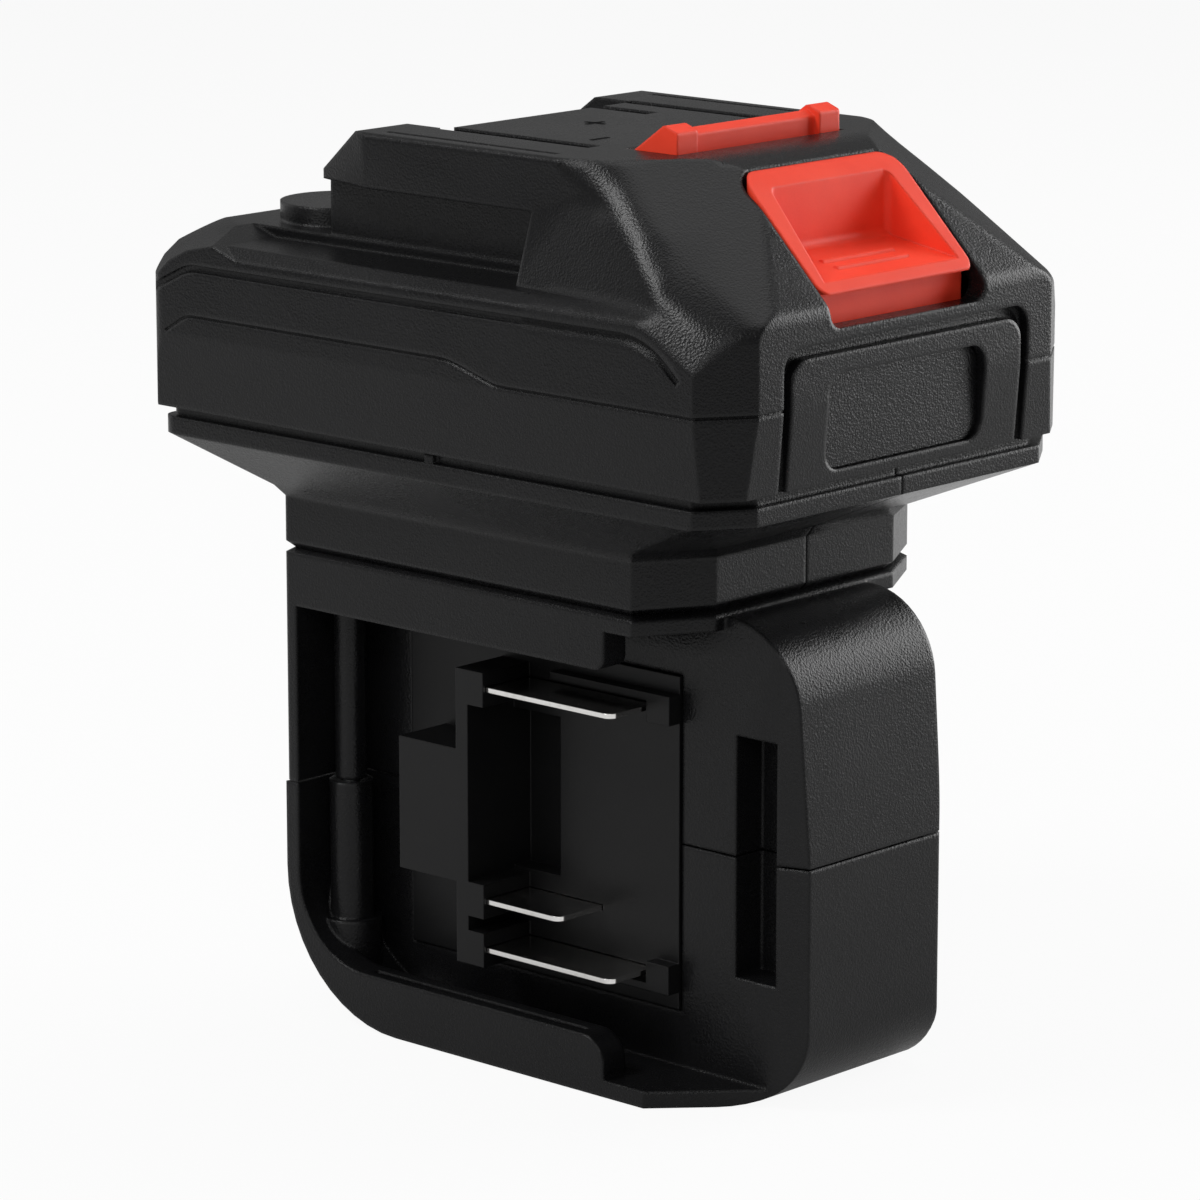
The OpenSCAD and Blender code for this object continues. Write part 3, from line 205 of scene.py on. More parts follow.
class SkinGraph(NodeGraph):
    """The node graph of a new material, over Object coordinates."""

    def __init__(self, name: str) -> None:
        """Makes the material.

        Args:
            name: Its name.
        """
        self.material = bpy.data.materials.new(name)
        super().__init__(self.material, "ShaderNodeOutputMaterial")
        self.place = self.add("ShaderNodeTexCoord", {}, {}, "Object")

    def surface(self, sockets: Sockets) -> Term:
        """Adds the surface shader with its sockets set or linked."""
        return self.add("ShaderNodeBsdfPrincipled", {}, sockets, "BSDF")

    def noise(self, size: float, detail: float, roughness: float, stretch: Point = EVEN) -> Term:
        """Noise over the object.

        Args:
            size: Size of a blotch in metres.
            detail: Octaves of finer noise.
            roughness: Strength of the finer octaves.
            stretch: Scale along each axis, for drawn or brushed grain.

        Returns:
            The noise, from 0 to 1 around 0.5.
        """
        place = self.place
        if stretch != EVEN:
            place = self.add("ShaderNodeMapping", {}, {"Vector": self.place, "Scale": stretch})
        sockets: Sockets = {"Vector": place, "Scale": 1.0 / size, "Detail": detail, "Roughness": roughness}
        return self.add("ShaderNodeTexNoise", {"noise_dimensions": "3D"}, sockets, "Fac")

    def pits(self, size: float) -> Term:
        """Distance to the nearest grain of an eroded mould texture, with grains of a size in metres."""
        sockets: Sockets = {"Vector": self.place, "Scale": 1.0 / size, "Smoothness": 0.35, "Randomness": 1.0}
        return self.add("ShaderNodeTexVoronoi", {"feature": "SMOOTH_F1"}, sockets, "Distance")

    def ramp(self, value: Term, low: float, high: float) -> Term:
        """Value spread so that low becomes 0 and high becomes 1."""
        sockets: Sockets = {"Value": value, "From Min": low, "From Max": high}
        return self.add("ShaderNodeMapRange", {"clamp": True}, sockets)

    def blend(self, share: Operand, first: Colour, second: Colour) -> Term:
        """Mixes two colours, with the given share of the second."""
        settings = {"data_type": "RGBA", "blend_type": "MIX"}
        return self.add("ShaderNodeMix", settings, {0: share, 6: (*first, 1.0), 7: (*second, 1.0)}, 2)

    def inside(self, box: Box, fade: float) -> Term:
        """Share of a place that lies inside a box or its mirror image across Y.

        Args:
            box: Low and high corner in metres, on the +Y side.
            fade: Width in metres over which the share falls to 0 outside.

        Returns:
            1 inside, 0 outside.
        """
        x, y, z = (self.add("ShaderNodeSeparateXYZ", {}, {"Vector": self.place}, axis) for axis in "XYZ")
        shares: List[Term] = []
        for along, start, end in zip((x, self.math("ABSOLUTE", y), z), *box):
            shares.append(self.ramp(along, start - fade, start) * self.ramp(along, end + fade, end))
        return shares[0] * shares[1] * shares[2]

    def soft_edges(self, radius: Operand) -> Term:
        """Normal that turns round the edges as if they had the given radius in metres."""
        return self.add("ShaderNodeBevel", {"samples": 6}, {"Radius": radius}, "Normal")

    def relief(self, height: Term, depth: float, strength: float, normal: Optional[Term] = None) -> Term:
        """Bump relief.

        Args:
            height: Height from 0 to 1.
            depth: Depth in metres that a height of 1 stands for.
            strength: Share of the relief that is used.
            normal: Normal that the relief lies on.

        Returns:
            The bumped normal.
        """
        sockets: Sockets = {"Height": height, "Distance": depth, "Strength": strength}
        if normal is not None:
            sockets["Normal"] = normal
        return self.add("ShaderNodeBump", {}, sockets, "Normal")


# Finishes


@dataclass(frozen=True)
class MouldedPlastic:
    """Black moulded plastic with the eroded grain of its mould.

    Attributes:
        name: Name of the material.
        dark: Colour in the pits of the grain.
        light: Colour on the peaks, where handling polishes it.
        grain: Size of a grain in metres.
        depth: Depth of the grain in metres.
        gloss: Mean roughness.
        edge: Radius of the softened edges in metres.
        shine: Specular level of the skin.
        cloud: Size of a cloud of uneven gloss in metres.
        scuff: Size of a rubbed place in metres.
        ridge: Box, mirrored across Y, in which the edges are softer.
        ridge_edge: Radius of the softened edges in that box.
        ridge_fade: Width over which the softness of that box fades out.
    """

    name: str
    dark: Colour
    light: Colour
    grain: float
    depth: float
    gloss: float
    edge: float
    shine: float = 0.22
    cloud: float = 18 * MM
    scuff: float = 5 * MM
    ridge: Optional[Box] = None
    ridge_edge: float = 2.4 * MM
    ridge_fade: float = 3 * MM

    def material(self) -> bpy.types.Material:
        """Builds the node material.

        Returns:
            The finished material.
        """
        graph = SkinGraph(self.name)
        fine = graph.noise(self.grain * 0.55, detail=2.0, roughness=0.6)
        clouds = graph.noise(self.cloud, detail=3.0, roughness=0.55)
        rubs = graph.noise(self.scuff, detail=4.0, roughness=0.65, stretch=(1.0, 1.0, 3.0))
        scuffs = graph.ramp(rubs, low=0.58, high=0.78)
        height = graph.pits(self.grain) * 0.65 + fine * 0.35
        shade = graph.ramp(height * 0.6 + clouds * 0.4, low=0.3, high=0.75)
        edge: Operand = self.edge
        if self.ridge is not None:
            edge = self.edge + graph.inside(self.ridge, self.ridge_fade) * (self.ridge_edge - self.edge)
        sockets: Sockets = {
            "Base Color": graph.blend(shade, self.dark, self.light),
            "Roughness": self.gloss + (clouds - 0.5) * 0.12 - scuffs * 0.05 + (fine - 0.5) * 0.1,
            "Normal": graph.relief(height, self.depth, strength=1.0, normal=graph.soft_edges(edge)),
            "IOR": 1.52,
            "Specular IOR Level": self.shine,
        }
        graph.show(graph.surface(sockets))
        return graph.material


@dataclass(frozen=True)
class DyedPlastic:
    """Coloured satin plastic with faint flow clouds and a fine grain.

    Attributes:
        name: Name of the material.
        deep: Colour in the darker flow clouds.
        bright: Colour elsewhere.
        gloss: Mean roughness.
        coat: Mean weight of the polished skin.
        edge: Radius of the softened edges in metres.
        flow: Size of a flow cloud in metres.
        grain: Size of a grain in metres.
        depth: Depth of the grain in metres.
        rub: Size of a rubbed place in metres.
    """

    name: str
    deep: Colour
    bright: Colour
    gloss: float
    coat: float
    edge: float
    flow: float = 9 * MM
    grain: float = 0.28 * MM
    depth: float = 0.02 * MM
    rub: float = 3 * MM

    def material(self) -> bpy.types.Material:
        """Builds the node material.

        Returns:
            The finished material.
        """
        graph = SkinGraph(self.name)
        flow = graph.noise(self.flow, detail=3.0, roughness=0.5)
        grain = graph.noise(self.grain, detail=2.0, roughness=0.6)
        rubbed = graph.ramp(graph.noise(self.rub, detail=4.0, roughness=0.6), low=0.5, high=0.75)
        shade = graph.ramp(flow * 0.75 + grain * 0.25, low=0.35, high=0.65)
        edges = graph.soft_edges(self.edge)
        sockets: Sockets = {
            "Base Color": graph.blend(shade, self.deep, self.bright),
            "Roughness": self.gloss + (grain - 0.5) * 0.16 - rubbed * 0.06,
            "Coat Weight": self.coat * (0.6 + 0.4 * flow),
            "Coat Roughness": 0.3,
            "Normal": graph.relief(grain, self.depth, strength=0.8, normal=edges),
            "IOR": 1.5,
            "Specular IOR Level": 0.22,
        }
        graph.show(graph.surface(sockets))
        return graph.material


@dataclass(frozen=True)
class WorkedMetal:
    """Bare or plated metal with a drawn or rolled grain and some tarnish.

    Attributes:
        name: Name of the material.
        clean: Colour of the clean metal.
        dull: Colour of the tarnish.
        gloss: Roughness of the clean metal.
        stretch: Scale of the grain along each axis.
        edge: Radius of the softened edges in metres.
        grain: Size of the grain in metres.
        depth: Depth of the grain in metres.
        stain: Size of a tarnished place in metres.
    """

    name: str
    clean: Colour
    dull: Colour
    gloss: float
    stretch: Point
    edge: float
    grain: float = 0.5 * MM
    depth: float = 0.01 * MM
    stain: float = 2.5 * MM

    def material(self) -> bpy.types.Material:
        """Builds the node material.

        Returns:
            The finished material.
        """
        graph = SkinGraph(self.name)
        grain = graph.noise(self.grain, detail=3.0, roughness=0.6, stretch=self.stretch)
        tarnish = graph.ramp(graph.noise(self.stain, detail=4.0, roughness=0.6), low=0.52, high=0.8)
        edges = graph.soft_edges(self.edge)
        sockets: Sockets = {
            "Base Color": graph.blend(tarnish * 0.6, self.clean, self.dull),
            "Metallic": 1.0,
            "Roughness": self.gloss + (grain - 0.5) * 0.14 + tarnish * 0.12,
            "Normal": graph.relief(grain, self.depth, strength=0.6, normal=edges),
        }
        graph.show(graph.surface(sockets))
        return graph.material


@dataclass(frozen=True)
class LeadJacket:
    """Soft wire insulation with a waxy skin.

    Attributes:
        name: Name of the material.
        colour: Colour of the jacket.
        worn: Colour where it has been handled.
        wax: Size of a waxy patch in metres.
        depth: Depth of the waxy skin in metres.
    """

    name: str
    colour: Colour
    worn: Colour
    wax: float = 1.2 * MM
    depth: float = 0.03 * MM

    def material(self) -> bpy.types.Material:
        """Builds the node material.

        Returns:
            The finished material.
        """
        graph = SkinGraph(self.name)
        wax = graph.noise(self.wax, detail=3.0, roughness=0.6)
        shade = graph.ramp(wax, low=0.4, high=0.75)
        sockets: Sockets = {
            "Base Color": graph.blend(shade, self.colour, self.worn),
            "Roughness": 0.48 + (wax - 0.5) * 0.2,
            "Normal": graph.relief(wax, self.depth, strength=0.5),
        }
        graph.show(graph.surface(sockets))
        return graph.material


@dataclass(frozen=True)
class PaleFloor:
    """Matt studio floor that is nearly white to the camera and keeps a faint contact shadow.

    Attributes:
        name: Name of the material.
        dark: Darker colour of its mottle.
        light: Lighter colour of its mottle.
        mottle: Size of a mottle cloud in metres.
        white: Share of plain white in what a ray that sees the background gets.
    """

    name: str
    dark: Colour
    light: Colour
    mottle: float = 0.4
    white: float = 0.93

    def material(self, seen: Callable[[NodeGraph], Term]) -> bpy.types.Material:
        """Builds the node material.

        Args:
            seen: Gives the share of the white background that a ray sees.

        Returns:
            The finished material.
        """
        graph = SkinGraph(self.name)
        mottle = graph.noise(self.mottle, detail=2.0, roughness=0.5)
        sockets: Sockets = {
            "Base Color": graph.blend(mottle, self.dark, self.light),
            "Roughness": 0.9,
            "Specular IOR Level": 0.1,
        }
        glow = graph.add("ShaderNodeEmission", {}, {"Color": WHITE, "Strength": 1.0})
        graph.show(graph.mixed(seen(graph) * self.white, graph.surface(sockets), glow))
        return graph.material


HOUSING = MouldedPlastic(
    name="housing_black",
    dark=(0.0036, 0.0036, 0.0039),
    light=(0.0076, 0.0076, 0.0082),
    grain=0.34 * MM,
    depth=0.055 * MM,
    gloss=0.28,
    edge=0.8 * MM,
)
CROWN = replace(
    HOUSING,
    name="crown_black",
    ridge=((21 * MM, 25 * MM, 109 * MM), (52 * MM, 38 * MM, 131 * MM)),
)
INSERT = MouldedPlastic(
    name="insert_black",
    dark=(0.0028, 0.0028, 0.003),
    light=(0.0055, 0.0055, 0.0058),
    grain=0.22 * MM,
    depth=0.008 * MM,
    gloss=0.36,
    edge=0.25 * MM,
)
LABEL = MouldedPlastic(
    name="label_film",
    dark=(0.003, 0.003, 0.0033),
    light=(0.0072, 0.0072, 0.0078),
    grain=0.34 * MM,
    depth=0.07 * MM,
    gloss=0.26,
    edge=0.2 * MM,
)
# Painted shade: the sign finish is darker and less shiny than the housing. It stands in for the shade inside
# the engraved polarity signs.
SIGN_PAINTED_SHADE = MouldedPlastic(
    name="sign_painted_shade",
    dark=(0.0012, 0.0012, 0.0013),
    light=(0.0026, 0.0026, 0.0028),
    grain=0.22 * MM,
    depth=0.006 * MM,
    gloss=0.7,
    edge=0.04 * MM,
    shine=0.04,
)
LATCH_RED = DyedPlastic(
    name="latch_red",
    deep=(0.89, 0.052, 0.022),
    bright=(0.95, 0.068, 0.031),
    gloss=0.45,
    coat=0.03,
    edge=0.5 * MM,
)
NICKEL = WorkedMetal(
    name="blade_nickel",
    clean=(0.86, 0.85, 0.83),
    dull=(0.62, 0.6, 0.56),
    gloss=0.16,
    stretch=(0.15, 1.0, 1.0),
    edge=0.12 * MM,
)
BRASS = WorkedMetal(
    name="contact_brass",
    clean=(0.82, 0.63, 0.33),
    dull=(0.5, 0.36, 0.18),
    gloss=0.24,
    stretch=(0.2, 1.0, 1.0),
    edge=0.12 * MM,
)
SPRING_STEEL = WorkedMetal(
    name="spring_steel",
    clean=(0.62, 0.62, 0.64),
    dull=(0.36, 0.36, 0.37),
    gloss=0.28,
    stretch=(1.0, 1.0, 0.3),
    edge=0.1 * MM,
)
ZINC = WorkedMetal(
    name="screw_zinc",
    clean=(0.58, 0.59, 0.61),
    dull=(0.34, 0.34, 0.33),
    gloss=0.34,
    stretch=EVEN,
    edge=0.2 * MM,
)
JACKET_RED = LeadJacket("lead_red", colour=(0.5, 0.03, 0.025), worn=(0.6, 0.07, 0.05))
JACKET_BLACK = LeadJacket("lead_black", colour=(0.018, 0.018, 0.018), worn=(0.04, 0.04, 0.04))
JACKET_WHITE = LeadJacket("lead_white", colour=(0.72, 0.71, 0.66), worn=(0.6, 0.58, 0.52))
FLOOR = PaleFloor("floor_pale", dark=(0.66, 0.66, 0.66), light=(0.7, 0.7, 0.7))

Finish = Union[MouldedPlastic, DyedPlastic, WorkedMetal, LeadJacket]


class Paintbox:
    """Builds each finish's material once and hands it out."""

    def __init__(self) -> None:
        """Starts with no materials."""
        self.made: Dict[str, bpy.types.Material] = {}

    def coat(self, piece: bpy.types.Object, finish: Finish) -> None:
        """Gives a piece one finish all over.

        Args:
            piece: The piece to paint.
            finish: The finish that it gets.
        """
        if finish.name not in self.made:
            self.made[finish.name] = finish.material()
        piece.data.materials.clear()
        piece.data.materials.append(self.made[finish.name])


# Modelling


class Bench:
    """Selects, copies and shapes objects with Blender's own operators."""

    @staticmethod
    def clear() -> None:
        """Leaves edit mode and deselects everything."""
        if bpy.context.object is not None and bpy.context.object.mode != "OBJECT":
            bpy.ops.object.mode_set(mode="OBJECT")
        bpy.ops.object.select_all(action="DESELECT")

    @staticmethod
    def take(piece: bpy.types.Object) -> None:
        """Makes one object the only selected and active one.

        Args:
            piece: The object.
        """
        Bench.clear()
        piece.select_set(True)
        bpy.context.view_layer.objects.active = piece

    @staticmethod
    def named(name: str) -> bpy.types.Object:
        """Names the active object and its data.

        Args:
            name: The name that both get.

        Returns:
            The active object.
        """
        piece = bpy.context.object
        piece.name = name
        piece.data.name = name
        return piece

    @staticmethod
    def copy_of(node: str, name: str) -> bpy.types.Object:
        """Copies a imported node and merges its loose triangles.

        Args:
            node: Name of the node.
            name: Name of the copy.

        Returns:
            The copy, with no custom normals, at the origin.
        """
        Bench.take(frame["nodes"][node])
        bpy.ops.object.duplicate()
        piece = Bench.named(name)
        piece.parent = None
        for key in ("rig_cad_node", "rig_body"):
            if key in piece:
                del piece[key]
        bpy.ops.mesh.customdata_custom_splitnormals_clear()
        bpy.ops.object.mode_set(mode="EDIT")
        bpy.ops.mesh.select_all(action="SELECT")
        bpy.ops.mesh.remove_doubles(threshold=MERGE_GAP)
        bpy.ops.object.mode_set(mode="OBJECT")
        return piece

    @staticmethod
    def apply(piece: bpy.types.Object, kind: str, **settings: object) -> None:
        """Adds a modifier and applies it.

        Args:
            piece: The piece that gets it.
            kind: Type of the modifier.
            **settings: Its settings.
        """
        Bench.take(piece)
        modifier = piece.modifiers.new(kind.lower(), kind)
        for key, value in settings.items():
            setattr(modifier, key, value)
        bpy.ops.object.modifier_apply(modifier=modifier.name)

    @staticmethod
    def smooth(piece: bpy.types.Object, degrees: float) -> None:
        """Shades the shallow edges smooth and lets large faces keep their own normals.

        Args:
            piece: The piece to shade.
            degrees: Edges steeper than this stay sharp.
        """
        Bench.take(piece)
        bpy.ops.object.shade_smooth_by_angle(angle=math.radians(degrees))
        Bench.apply(piece, "WEIGHTED_NORMAL", weight=60, keep_sharp=True)

    @staticmethod
    def melt(piece: bpy.types.Object, box: Box, cuts: int, rounds: int) -> None:
        """Evens out a step in the outer skin of a piece, inside a box and its mirror image across Y.

        Args:
            piece: The piece to shape.
            box: Low and high corner in metres, on the +Y side.
            cuts: Cuts that each edge in the box gets first.
            rounds: Rounds of smoothing.
        """
        low, high = box
        least_outward = 0.2
        Bench.take(piece)
        bpy.ops.object.mode_set(mode="EDIT")
        for axis in (Axis.X, Axis.Z):
            normal = tuple(float(axis is other) for other in Axis)
            for corner in box:
                place = tuple(corner[axis.value] * part for part in normal)
                bpy.ops.mesh.select_all(action="SELECT")
                bpy.ops.mesh.bisect(plane_co=place, plane_no=normal)
        bpy.ops.mesh.select_all(action="DESELECT")
        bpy.ops.mesh.select_mode(type="FACE")
        bpy.ops.object.mode_set(mode="OBJECT")
        for face in piece.data.polygons:
            middle = (face.center.x, abs(face.center.y), face.center.z)
            outward = face.normal.y * math.copysign(1.0, face.center.y) + face.normal.z
            face.select = outward > least_outward and all(a < m < b for a, m, b in zip(low, middle, high))
        bpy.ops.object.mode_set(mode="EDIT")
        bpy.ops.mesh.subdivide(number_cuts=cuts)
        bpy.ops.mesh.select_less()
        bpy.ops.mesh.vertices_smooth(factor=0.5, repeat=rounds)
        bpy.ops.mesh.select_mode(type="VERT")
        bpy.ops.object.mode_set(mode="OBJECT")

    @staticmethod
    def slab(name: str, low: Point, high: Point, edge: float) -> bpy.types.Object:
        """Models a small block with rounded edges from a cube.

        Args:
            name: Name of the piece.
            low: Lowest corner in metres.
            high: Highest corner in metres.
            edge: Width of its edge rounding in metres.

        Returns:
            The block, with its place in its mesh.
        """
        Bench.clear()
        middle = [(a + b) / 2 for a, b in zip(low, high)]
        bpy.ops.mesh.primitive_cube_add(size=1.0, location=middle)
        piece = Bench.named(name)
        piece.scale = [b - a for a, b in zip(low, high)]
        bpy.ops.object.transform_apply(location=True, rotation=True, scale=True)
        bpy.ops.object.mode_set(mode="EDIT")
        bpy.ops.mesh.select_all(action="SELECT")
        bpy.ops.mesh.bevel(offset=edge, segments=2, affect="EDGES")
        bpy.ops.object.mode_set(mode="OBJECT")
        return piece

    @staticmethod
    def join(pieces: List[bpy.types.Object], name: str) -> bpy.types.Object:
        """Joins several pieces into the first one.

        Args:
            pieces: The pieces.
            name: Name of the result.

        Returns:
            The joined piece.
        """
        Bench.take(pieces[0])
        for other in pieces[1:]:
            other.select_set(True)
        bpy.ops.object.join()
        return Bench.named(name)


# Sub-assemblies


@dataclass
class SubAssembly:
    """A group of pieces that are built and dressed together.

    Attributes:
        paint: The finishes.
        pieces: The pieces made so far, by name.
    """

    paint: Paintbox
    pieces: Dict[str, bpy.types.Object] = field(default_factory=dict)

    def build(self) -> None:
        """Makes the main pieces, which differ from group to group."""
        raise NotImplementedError

    def dress(self) -> None:
        """Adds the smaller pieces, where a group has any."""

    def stand_for(
        self,
        node: str,
        finish: Finish,
        slot: str,
        body: Body = Body.ADAPTER,
        degrees: float = SHALLOW_DEGREES,
        shape: Optional[Callable[[bpy.types.Object], None]] = None,
    ) -> bpy.types.Object:
        """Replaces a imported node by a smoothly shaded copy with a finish.

        Args:
            node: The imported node.
            finish: Its finish.
            slot: The record's material slot.
            body: The body that it rides on.
            degrees: Edges steeper than this stay sharp.
            shape: What is done to the copy before it is shaded.

        Returns:
            The piece.
        """
        piece = Bench.copy_of(node, f"{node}_dressed")
        if shape is not None:
            shape(piece)
        Bench.smooth(piece, degrees)
        self.settle(piece, finish, slot, body)
        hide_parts(node)
        return piece

    def settle(self, piece: bpy.types.Object, finish: Finish, slot: str, body: Body = Body.ADAPTER) -> None:
        """Paints a piece and lets it ride on a body.

        Args:
            piece: The piece.
            finish: Its finish.
            slot: The record's material slot; not used.
            body: The body that it rides on.
        """
        self.paint.coat(piece, finish)
        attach(piece, body.value)
        self.pieces[piece.name] = piece
        log.info("piece %s: %d faces, finish %s", piece.name, len(piece.data.polygons), finish.name)


@dataclass
class PlugHead(SubAssembly):
    """The upper shell with its label and the contacts behind its slots.

    Attributes:
        plus: Middle of the plus sign on the platform.
        minus: Middle of the minus sign on the platform.
        mark_arm: Length of a polarity sign.
        mark_width: Width of its strokes.
        mark_rise: How far it stands out of the platform.
        mark_root: How far it reaches into the platform.
        mark_edge: Width of its edge rounding.
        step: Box on the +Y side round the place where two ridge roundings meet.
        step_cuts: Cuts that each edge in that box gets before it is smoothed.
        step_rounds: Rounds of smoothing there.
    """

    plus: Tuple[float, float] = (-2.0 * MM, -1.0 * MM)
    minus: Tuple[float, float] = (9.5 * MM, -12.5 * MM)
    mark_arm: float = 3.6 * MM
    mark_width: float = 0.7 * MM
    mark_rise: float = 0.05 * MM
    mark_root: float = 0.1 * MM
    mark_edge: float = 0.03 * MM
    step: Box = ((22.0 * MM, 26.0 * MM, 123.4 * MM), (34.0 * MM, 34.0 * MM, 129.9 * MM))
    step_cuts: int = 6
    step_rounds: int = 120

    def build(self) -> None:
        """Makes the shell, the label, the contacts and their carrier."""
        self.stand_for("top_shell", CROWN, "housing", degrees=26.0, shape=self.even_ridge)
        self.stand_for("front_label", LABEL, "label")
        self.stand_for("contact_carrier", INSERT, "insert")
        for side in ("positive", "negative", "signal"):
            self.stand_for(f"contact_{side}", BRASS, "contact_brass")
        self.stand_for("carrier_screws", ZINC, "screw_steel")

    def dress(self) -> None:
        """Adds the plus and minus signs beside the blade slots, as thin slabs in painted shade: coloured
        darker than the housing to stand in for the shade inside the engraved signs.
        """
        strokes = [
            self.stroke("plus_long", self.plus, Axis.X),
            self.stroke("plus_cross", self.plus, Axis.Y),
            self.stroke("minus_long", self.minus, Axis.Y),
        ]
        signs = Bench.join(strokes, "polarity_signs")
        Bench.smooth(signs, SHALLOW_DEGREES)
        # The signs get the painted shade finish, darker than the housing around them.
        self.settle(signs, SIGN_PAINTED_SHADE, "housing")

    def even_ridge(self, shell: bpy.types.Object) -> None:
        """Evens out the step between the two roundings of each ridge."""
        Bench.melt(shell, self.step, self.step_cuts, self.step_rounds)

    def stroke(self, name: str, centre: Tuple[float, float], along: Axis) -> bpy.types.Object:
        """Models one stroke of a sign.

        Args:
            name: Name of the stroke.
            centre: Its middle on the platform.
            along: The axis that it runs along.

        Returns:
            The stroke.
        """
        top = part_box("top_shell")[1].z
        half = [self.mark_width / 2, self.mark_width / 2]
        half[along.value] = self.mark_arm / 2
        low = (centre[0] - half[0], centre[1] - half[1], top - self.mark_root)
        high = (centre[0] + half[0], centre[1] + half[1], top + self.mark_rise)
        return Bench.slab(name, low, high, self.mark_edge)


@dataclass
class ReleaseLatch(SubAssembly):
    """The red latch and the springs that lift it.

    Attributes:
        spring_keep: Share of their length that the springs keep when the latch is down; not used.
    """

    spring_keep: float = 0.747

    def build(self) -> None:
        """Makes the latch."""
        self.stand_for("release_latch", LATCH_RED, "latch_red", Body.LATCH, degrees=35.0)

    def dress(self) -> None:
        """Adds the springs and gives them a mesh of their own."""
        springs = self.stand_for("latch_springs", SPRING_STEEL, "spring_steel", degrees=75.0)
        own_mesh(springs)


@dataclass
class Collar(SubAssembly):
    """The two halves of collar and neck with their screws."""

    def build(self) -> None:
        """Makes the halves."""
        for side in ("left", "right"):
            self.stand_for(f"collar_{side}", HOUSING, "housing", degrees=28.0)

    def dress(self) -> None:
        """Adds the screws."""
        for group in ("case_screws", "neck_screws"):
            self.stand_for(group, ZINC, "screw_steel")


@dataclass
class BatterySeat(SubAssembly):
    """The foot with its lips, terminal block and blades."""

    def build(self) -> None:
        """Makes the two shells and the block."""
        for half in ("upper", "lower"):
            self.stand_for(f"socket_{half}_shell", HOUSING, "housing", degrees=28.0)
        self.stand_for("terminal_block", INSERT, "insert")

    def dress(self) -> None:
        """Adds the blades and the screws."""
        for side in ("positive", "negative", "signal"):
            self.stand_for(f"blade_{side}", NICKEL, "nickel")
        self.stand_for("foot_screws", ZINC, "screw_steel")


@dataclass
class Harness(SubAssembly):
    """The leads between blades and contacts."""

    def build(self) -> None:
        """Makes the leads with round shading."""
        for side, jacket, slot in (
            ("positive", JACKET_RED, "lead_red"),
            ("negative", JACKET_BLACK, "lead_black"),
            ("signal", JACKET_WHITE, "lead_white"),
        ):
            self.stand_for(f"wire_{side}", jacket, slot, degrees=60.0)


# Studio


@dataclass(frozen=True)
class SoftBox:
    """A square lamp.

    Attributes:
        name: Name of the lamp.
        place: Its place in metres.
        aim: Height in metres of the point over the origin that it faces.
        side: Its width and height in metres.
        power: Its power in watts.
    """

    name: str
    place: Point
    aim: float
    side: float
    power: float

    def hang(self) -> None:
        """Adds the lamp."""
        Bench.clear()
        bpy.ops.object.light_add(type="AREA", location=self.place)
        lamp = Bench.named(self.name)
        lamp.data.shape = "RECTANGLE"
        lamp.data.size = self.side
        lamp.data.size_y = self.side
        lamp.data.energy = self.power
        towards = Vector((0, 0, self.aim)) - Vector(self.place)
        lamp.rotation_euler = towards.to_track_quat("-Z", "Y").to_euler()


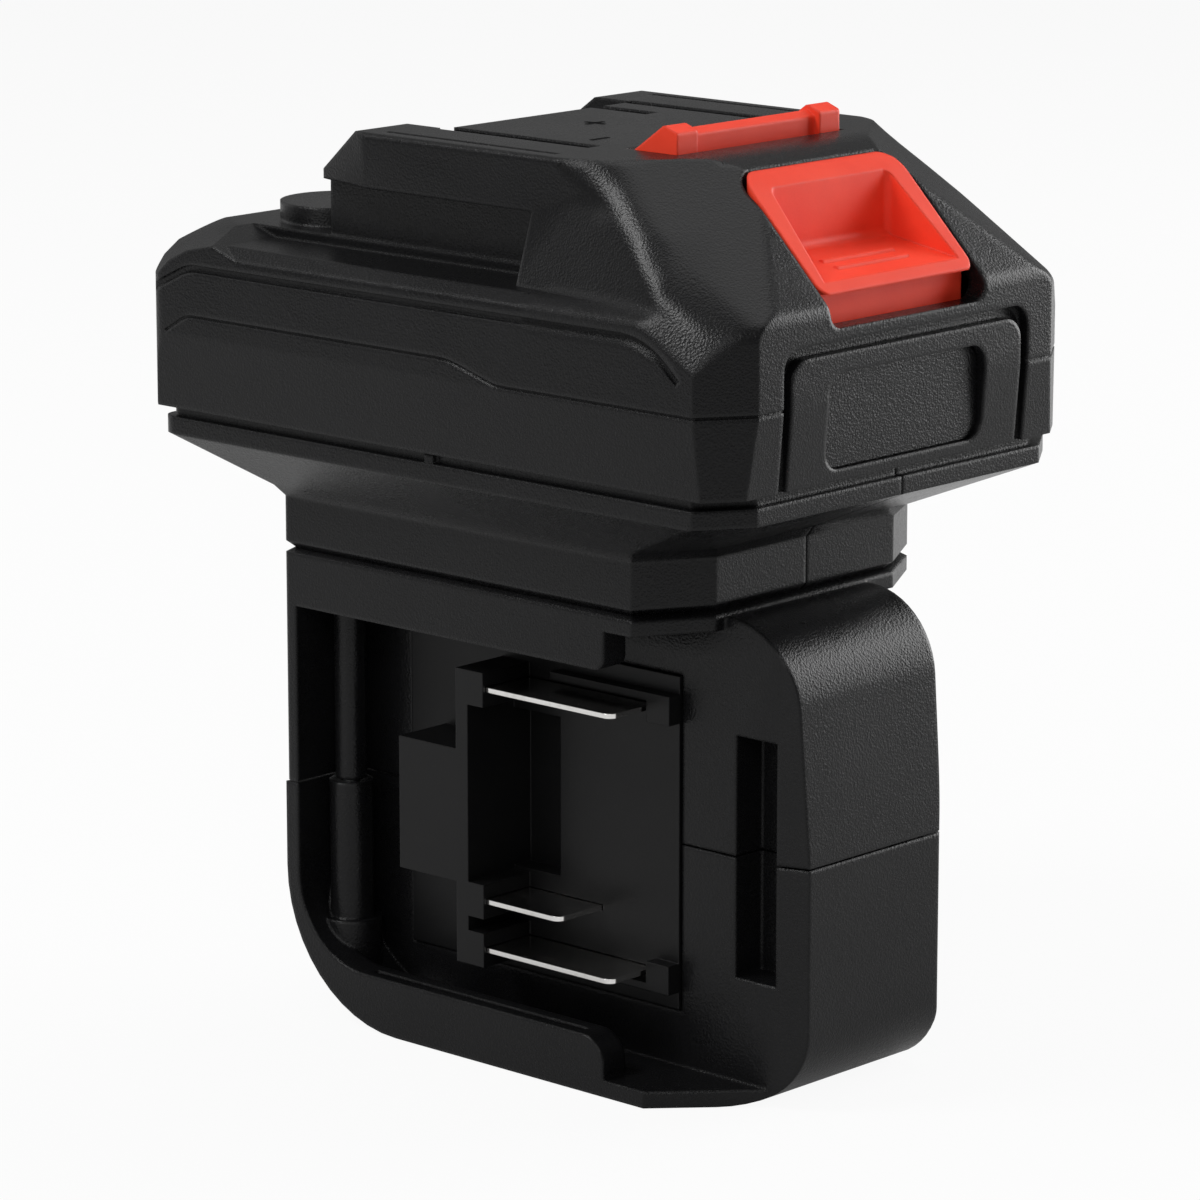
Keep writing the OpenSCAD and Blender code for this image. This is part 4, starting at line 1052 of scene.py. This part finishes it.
@dataclass
class Studio:
    """Floor, world, lamps and camera.

    Attributes:
        eye: Place of the camera in metres.
        right: Direction to the right of the picture.
        up: Direction to the top of the picture.
        sensor: Width of the camera's sensor in millimetres.
        lens: Focal length in millimetres.
        near: Where the camera starts to see, in metres.
        far: Where it stops, in metres.
        floor_size: Side of the floor in metres.
        floor_gap: How far the floor lies under the object, in metres.
        fill: Strength of the even light from all round.
        mirrored: Share of the white background that shows in reflections.
        boxes: The lamps.
    """

    eye: Point = (0.51855, -0.56537, 0.23503)
    right: Point = (0.73568, 0.67733, 0.0)
    up: Point = (-0.14880, 0.16162, 0.97557)
    sensor: float = 36.0
    lens: float = 163.96
    near: float = 0.01
    far: float = 50.0
    floor_size: float = 8.0
    floor_gap: float = 0.2 * MM
    fill: float = 0.03
    mirrored: float = 0.18
    boxes: Tuple[SoftBox, ...] = (
        SoftBox("box_right", (0.35, 1.0, 0.3), aim=0.08, side=0.8, power=12.8),
        SoftBox("box_top", (-0.1, 0.25, 1.0), aim=0.1, side=0.9, power=3.6),
        SoftBox("box_front", (0.7, -0.8, 0.75), aim=0.08, side=0.5, power=3.2),
        SoftBox("box_back", (-1.0, -0.2, 0.5), aim=0.09, side=0.8, power=1.5),
        SoftBox("box_side", (0.0, -1.1, 0.3), aim=0.07, side=0.7, power=1.8),
        SoftBox("box_left", (-0.43, -0.69, 1.05), aim=0.1, side=0.4, power=7.5),
    )

    def build(self) -> None:
        """Sets up the whole studio."""
        bpy.context.scene.view_settings.view_transform = "Standard"
        self.floor()
        self.world()
        for box in self.boxes:
            box.hang()
        self.camera()

    def seen_share(self, graph: NodeGraph) -> Term:
        """Share of the white background that a ray sees.

        Args:
            graph: The graph that gets the nodes.

        Returns:
            1 for camera and glass rays, a smaller share for mirror rays, 0 for diffuse light.
        """
        camera, glass, mirror = (
            graph.add("ShaderNodeLightPath", {}, {}, f"Is {kind} Ray")
            for kind in ("Camera", "Transmission", "Glossy")
        )
        return graph.math("MAXIMUM", graph.math("MAXIMUM", camera, glass), mirror * self.mirrored)

    def floor(self) -> None:
        """Lays a pale floor that is nearly white to the camera."""
        Bench.clear()
        bpy.ops.mesh.primitive_plane_add(size=self.floor_size, location=(0, 0, -self.floor_gap))
        plane = Bench.named("studio_floor")
        plane.data.materials.append(FLOOR.material(self.seen_share))

    def world(self) -> None:
        """Makes a world that is white to the camera and gives a low even light."""
        world = bpy.data.worlds.new("studio_world")
        bpy.context.scene.world = world
        graph = NodeGraph(world, "ShaderNodeOutputWorld")
        light, white = (
            graph.add("ShaderNodeBackground", {}, {"Color": WHITE, "Strength": strength})
            for strength in (self.fill, 1.0)
        )
        graph.show(graph.mixed(self.seen_share(graph), light, white))

    def camera(self) -> None:
        """Puts the camera at the photograph's viewing angle."""
        Bench.clear()
        bpy.ops.object.camera_add()
        camera = Bench.named("photo_camera")
        right, up = Vector(self.right).normalized(), Vector(self.up).normalized()
        rotation = Matrix((right, up, right.cross(up))).transposed().to_4x4()
        camera.matrix_world = Matrix.Translation(self.eye) @ rotation
        camera.data.sensor_width = self.sensor
        camera.data.lens = self.lens
        camera.data.clip_start = self.near
        camera.data.clip_end = self.far
        bpy.context.scene.camera = camera


def main() -> None:
    """Builds the studio and every sub-assembly in order."""
    logging.basicConfig(level=logging.INFO, format="%(name)s: %(message)s")
    Studio().build()
    paint = Paintbox()
    for group in (Harness, PlugHead, ReleaseLatch, Collar, BatterySeat):
        part = group(paint)
        part.build()
        part.dress()
        log.info("%s: %d pieces", group.__name__, len(part.pieces))
    Bench.clear()


if __name__ == "__main__":
    main()
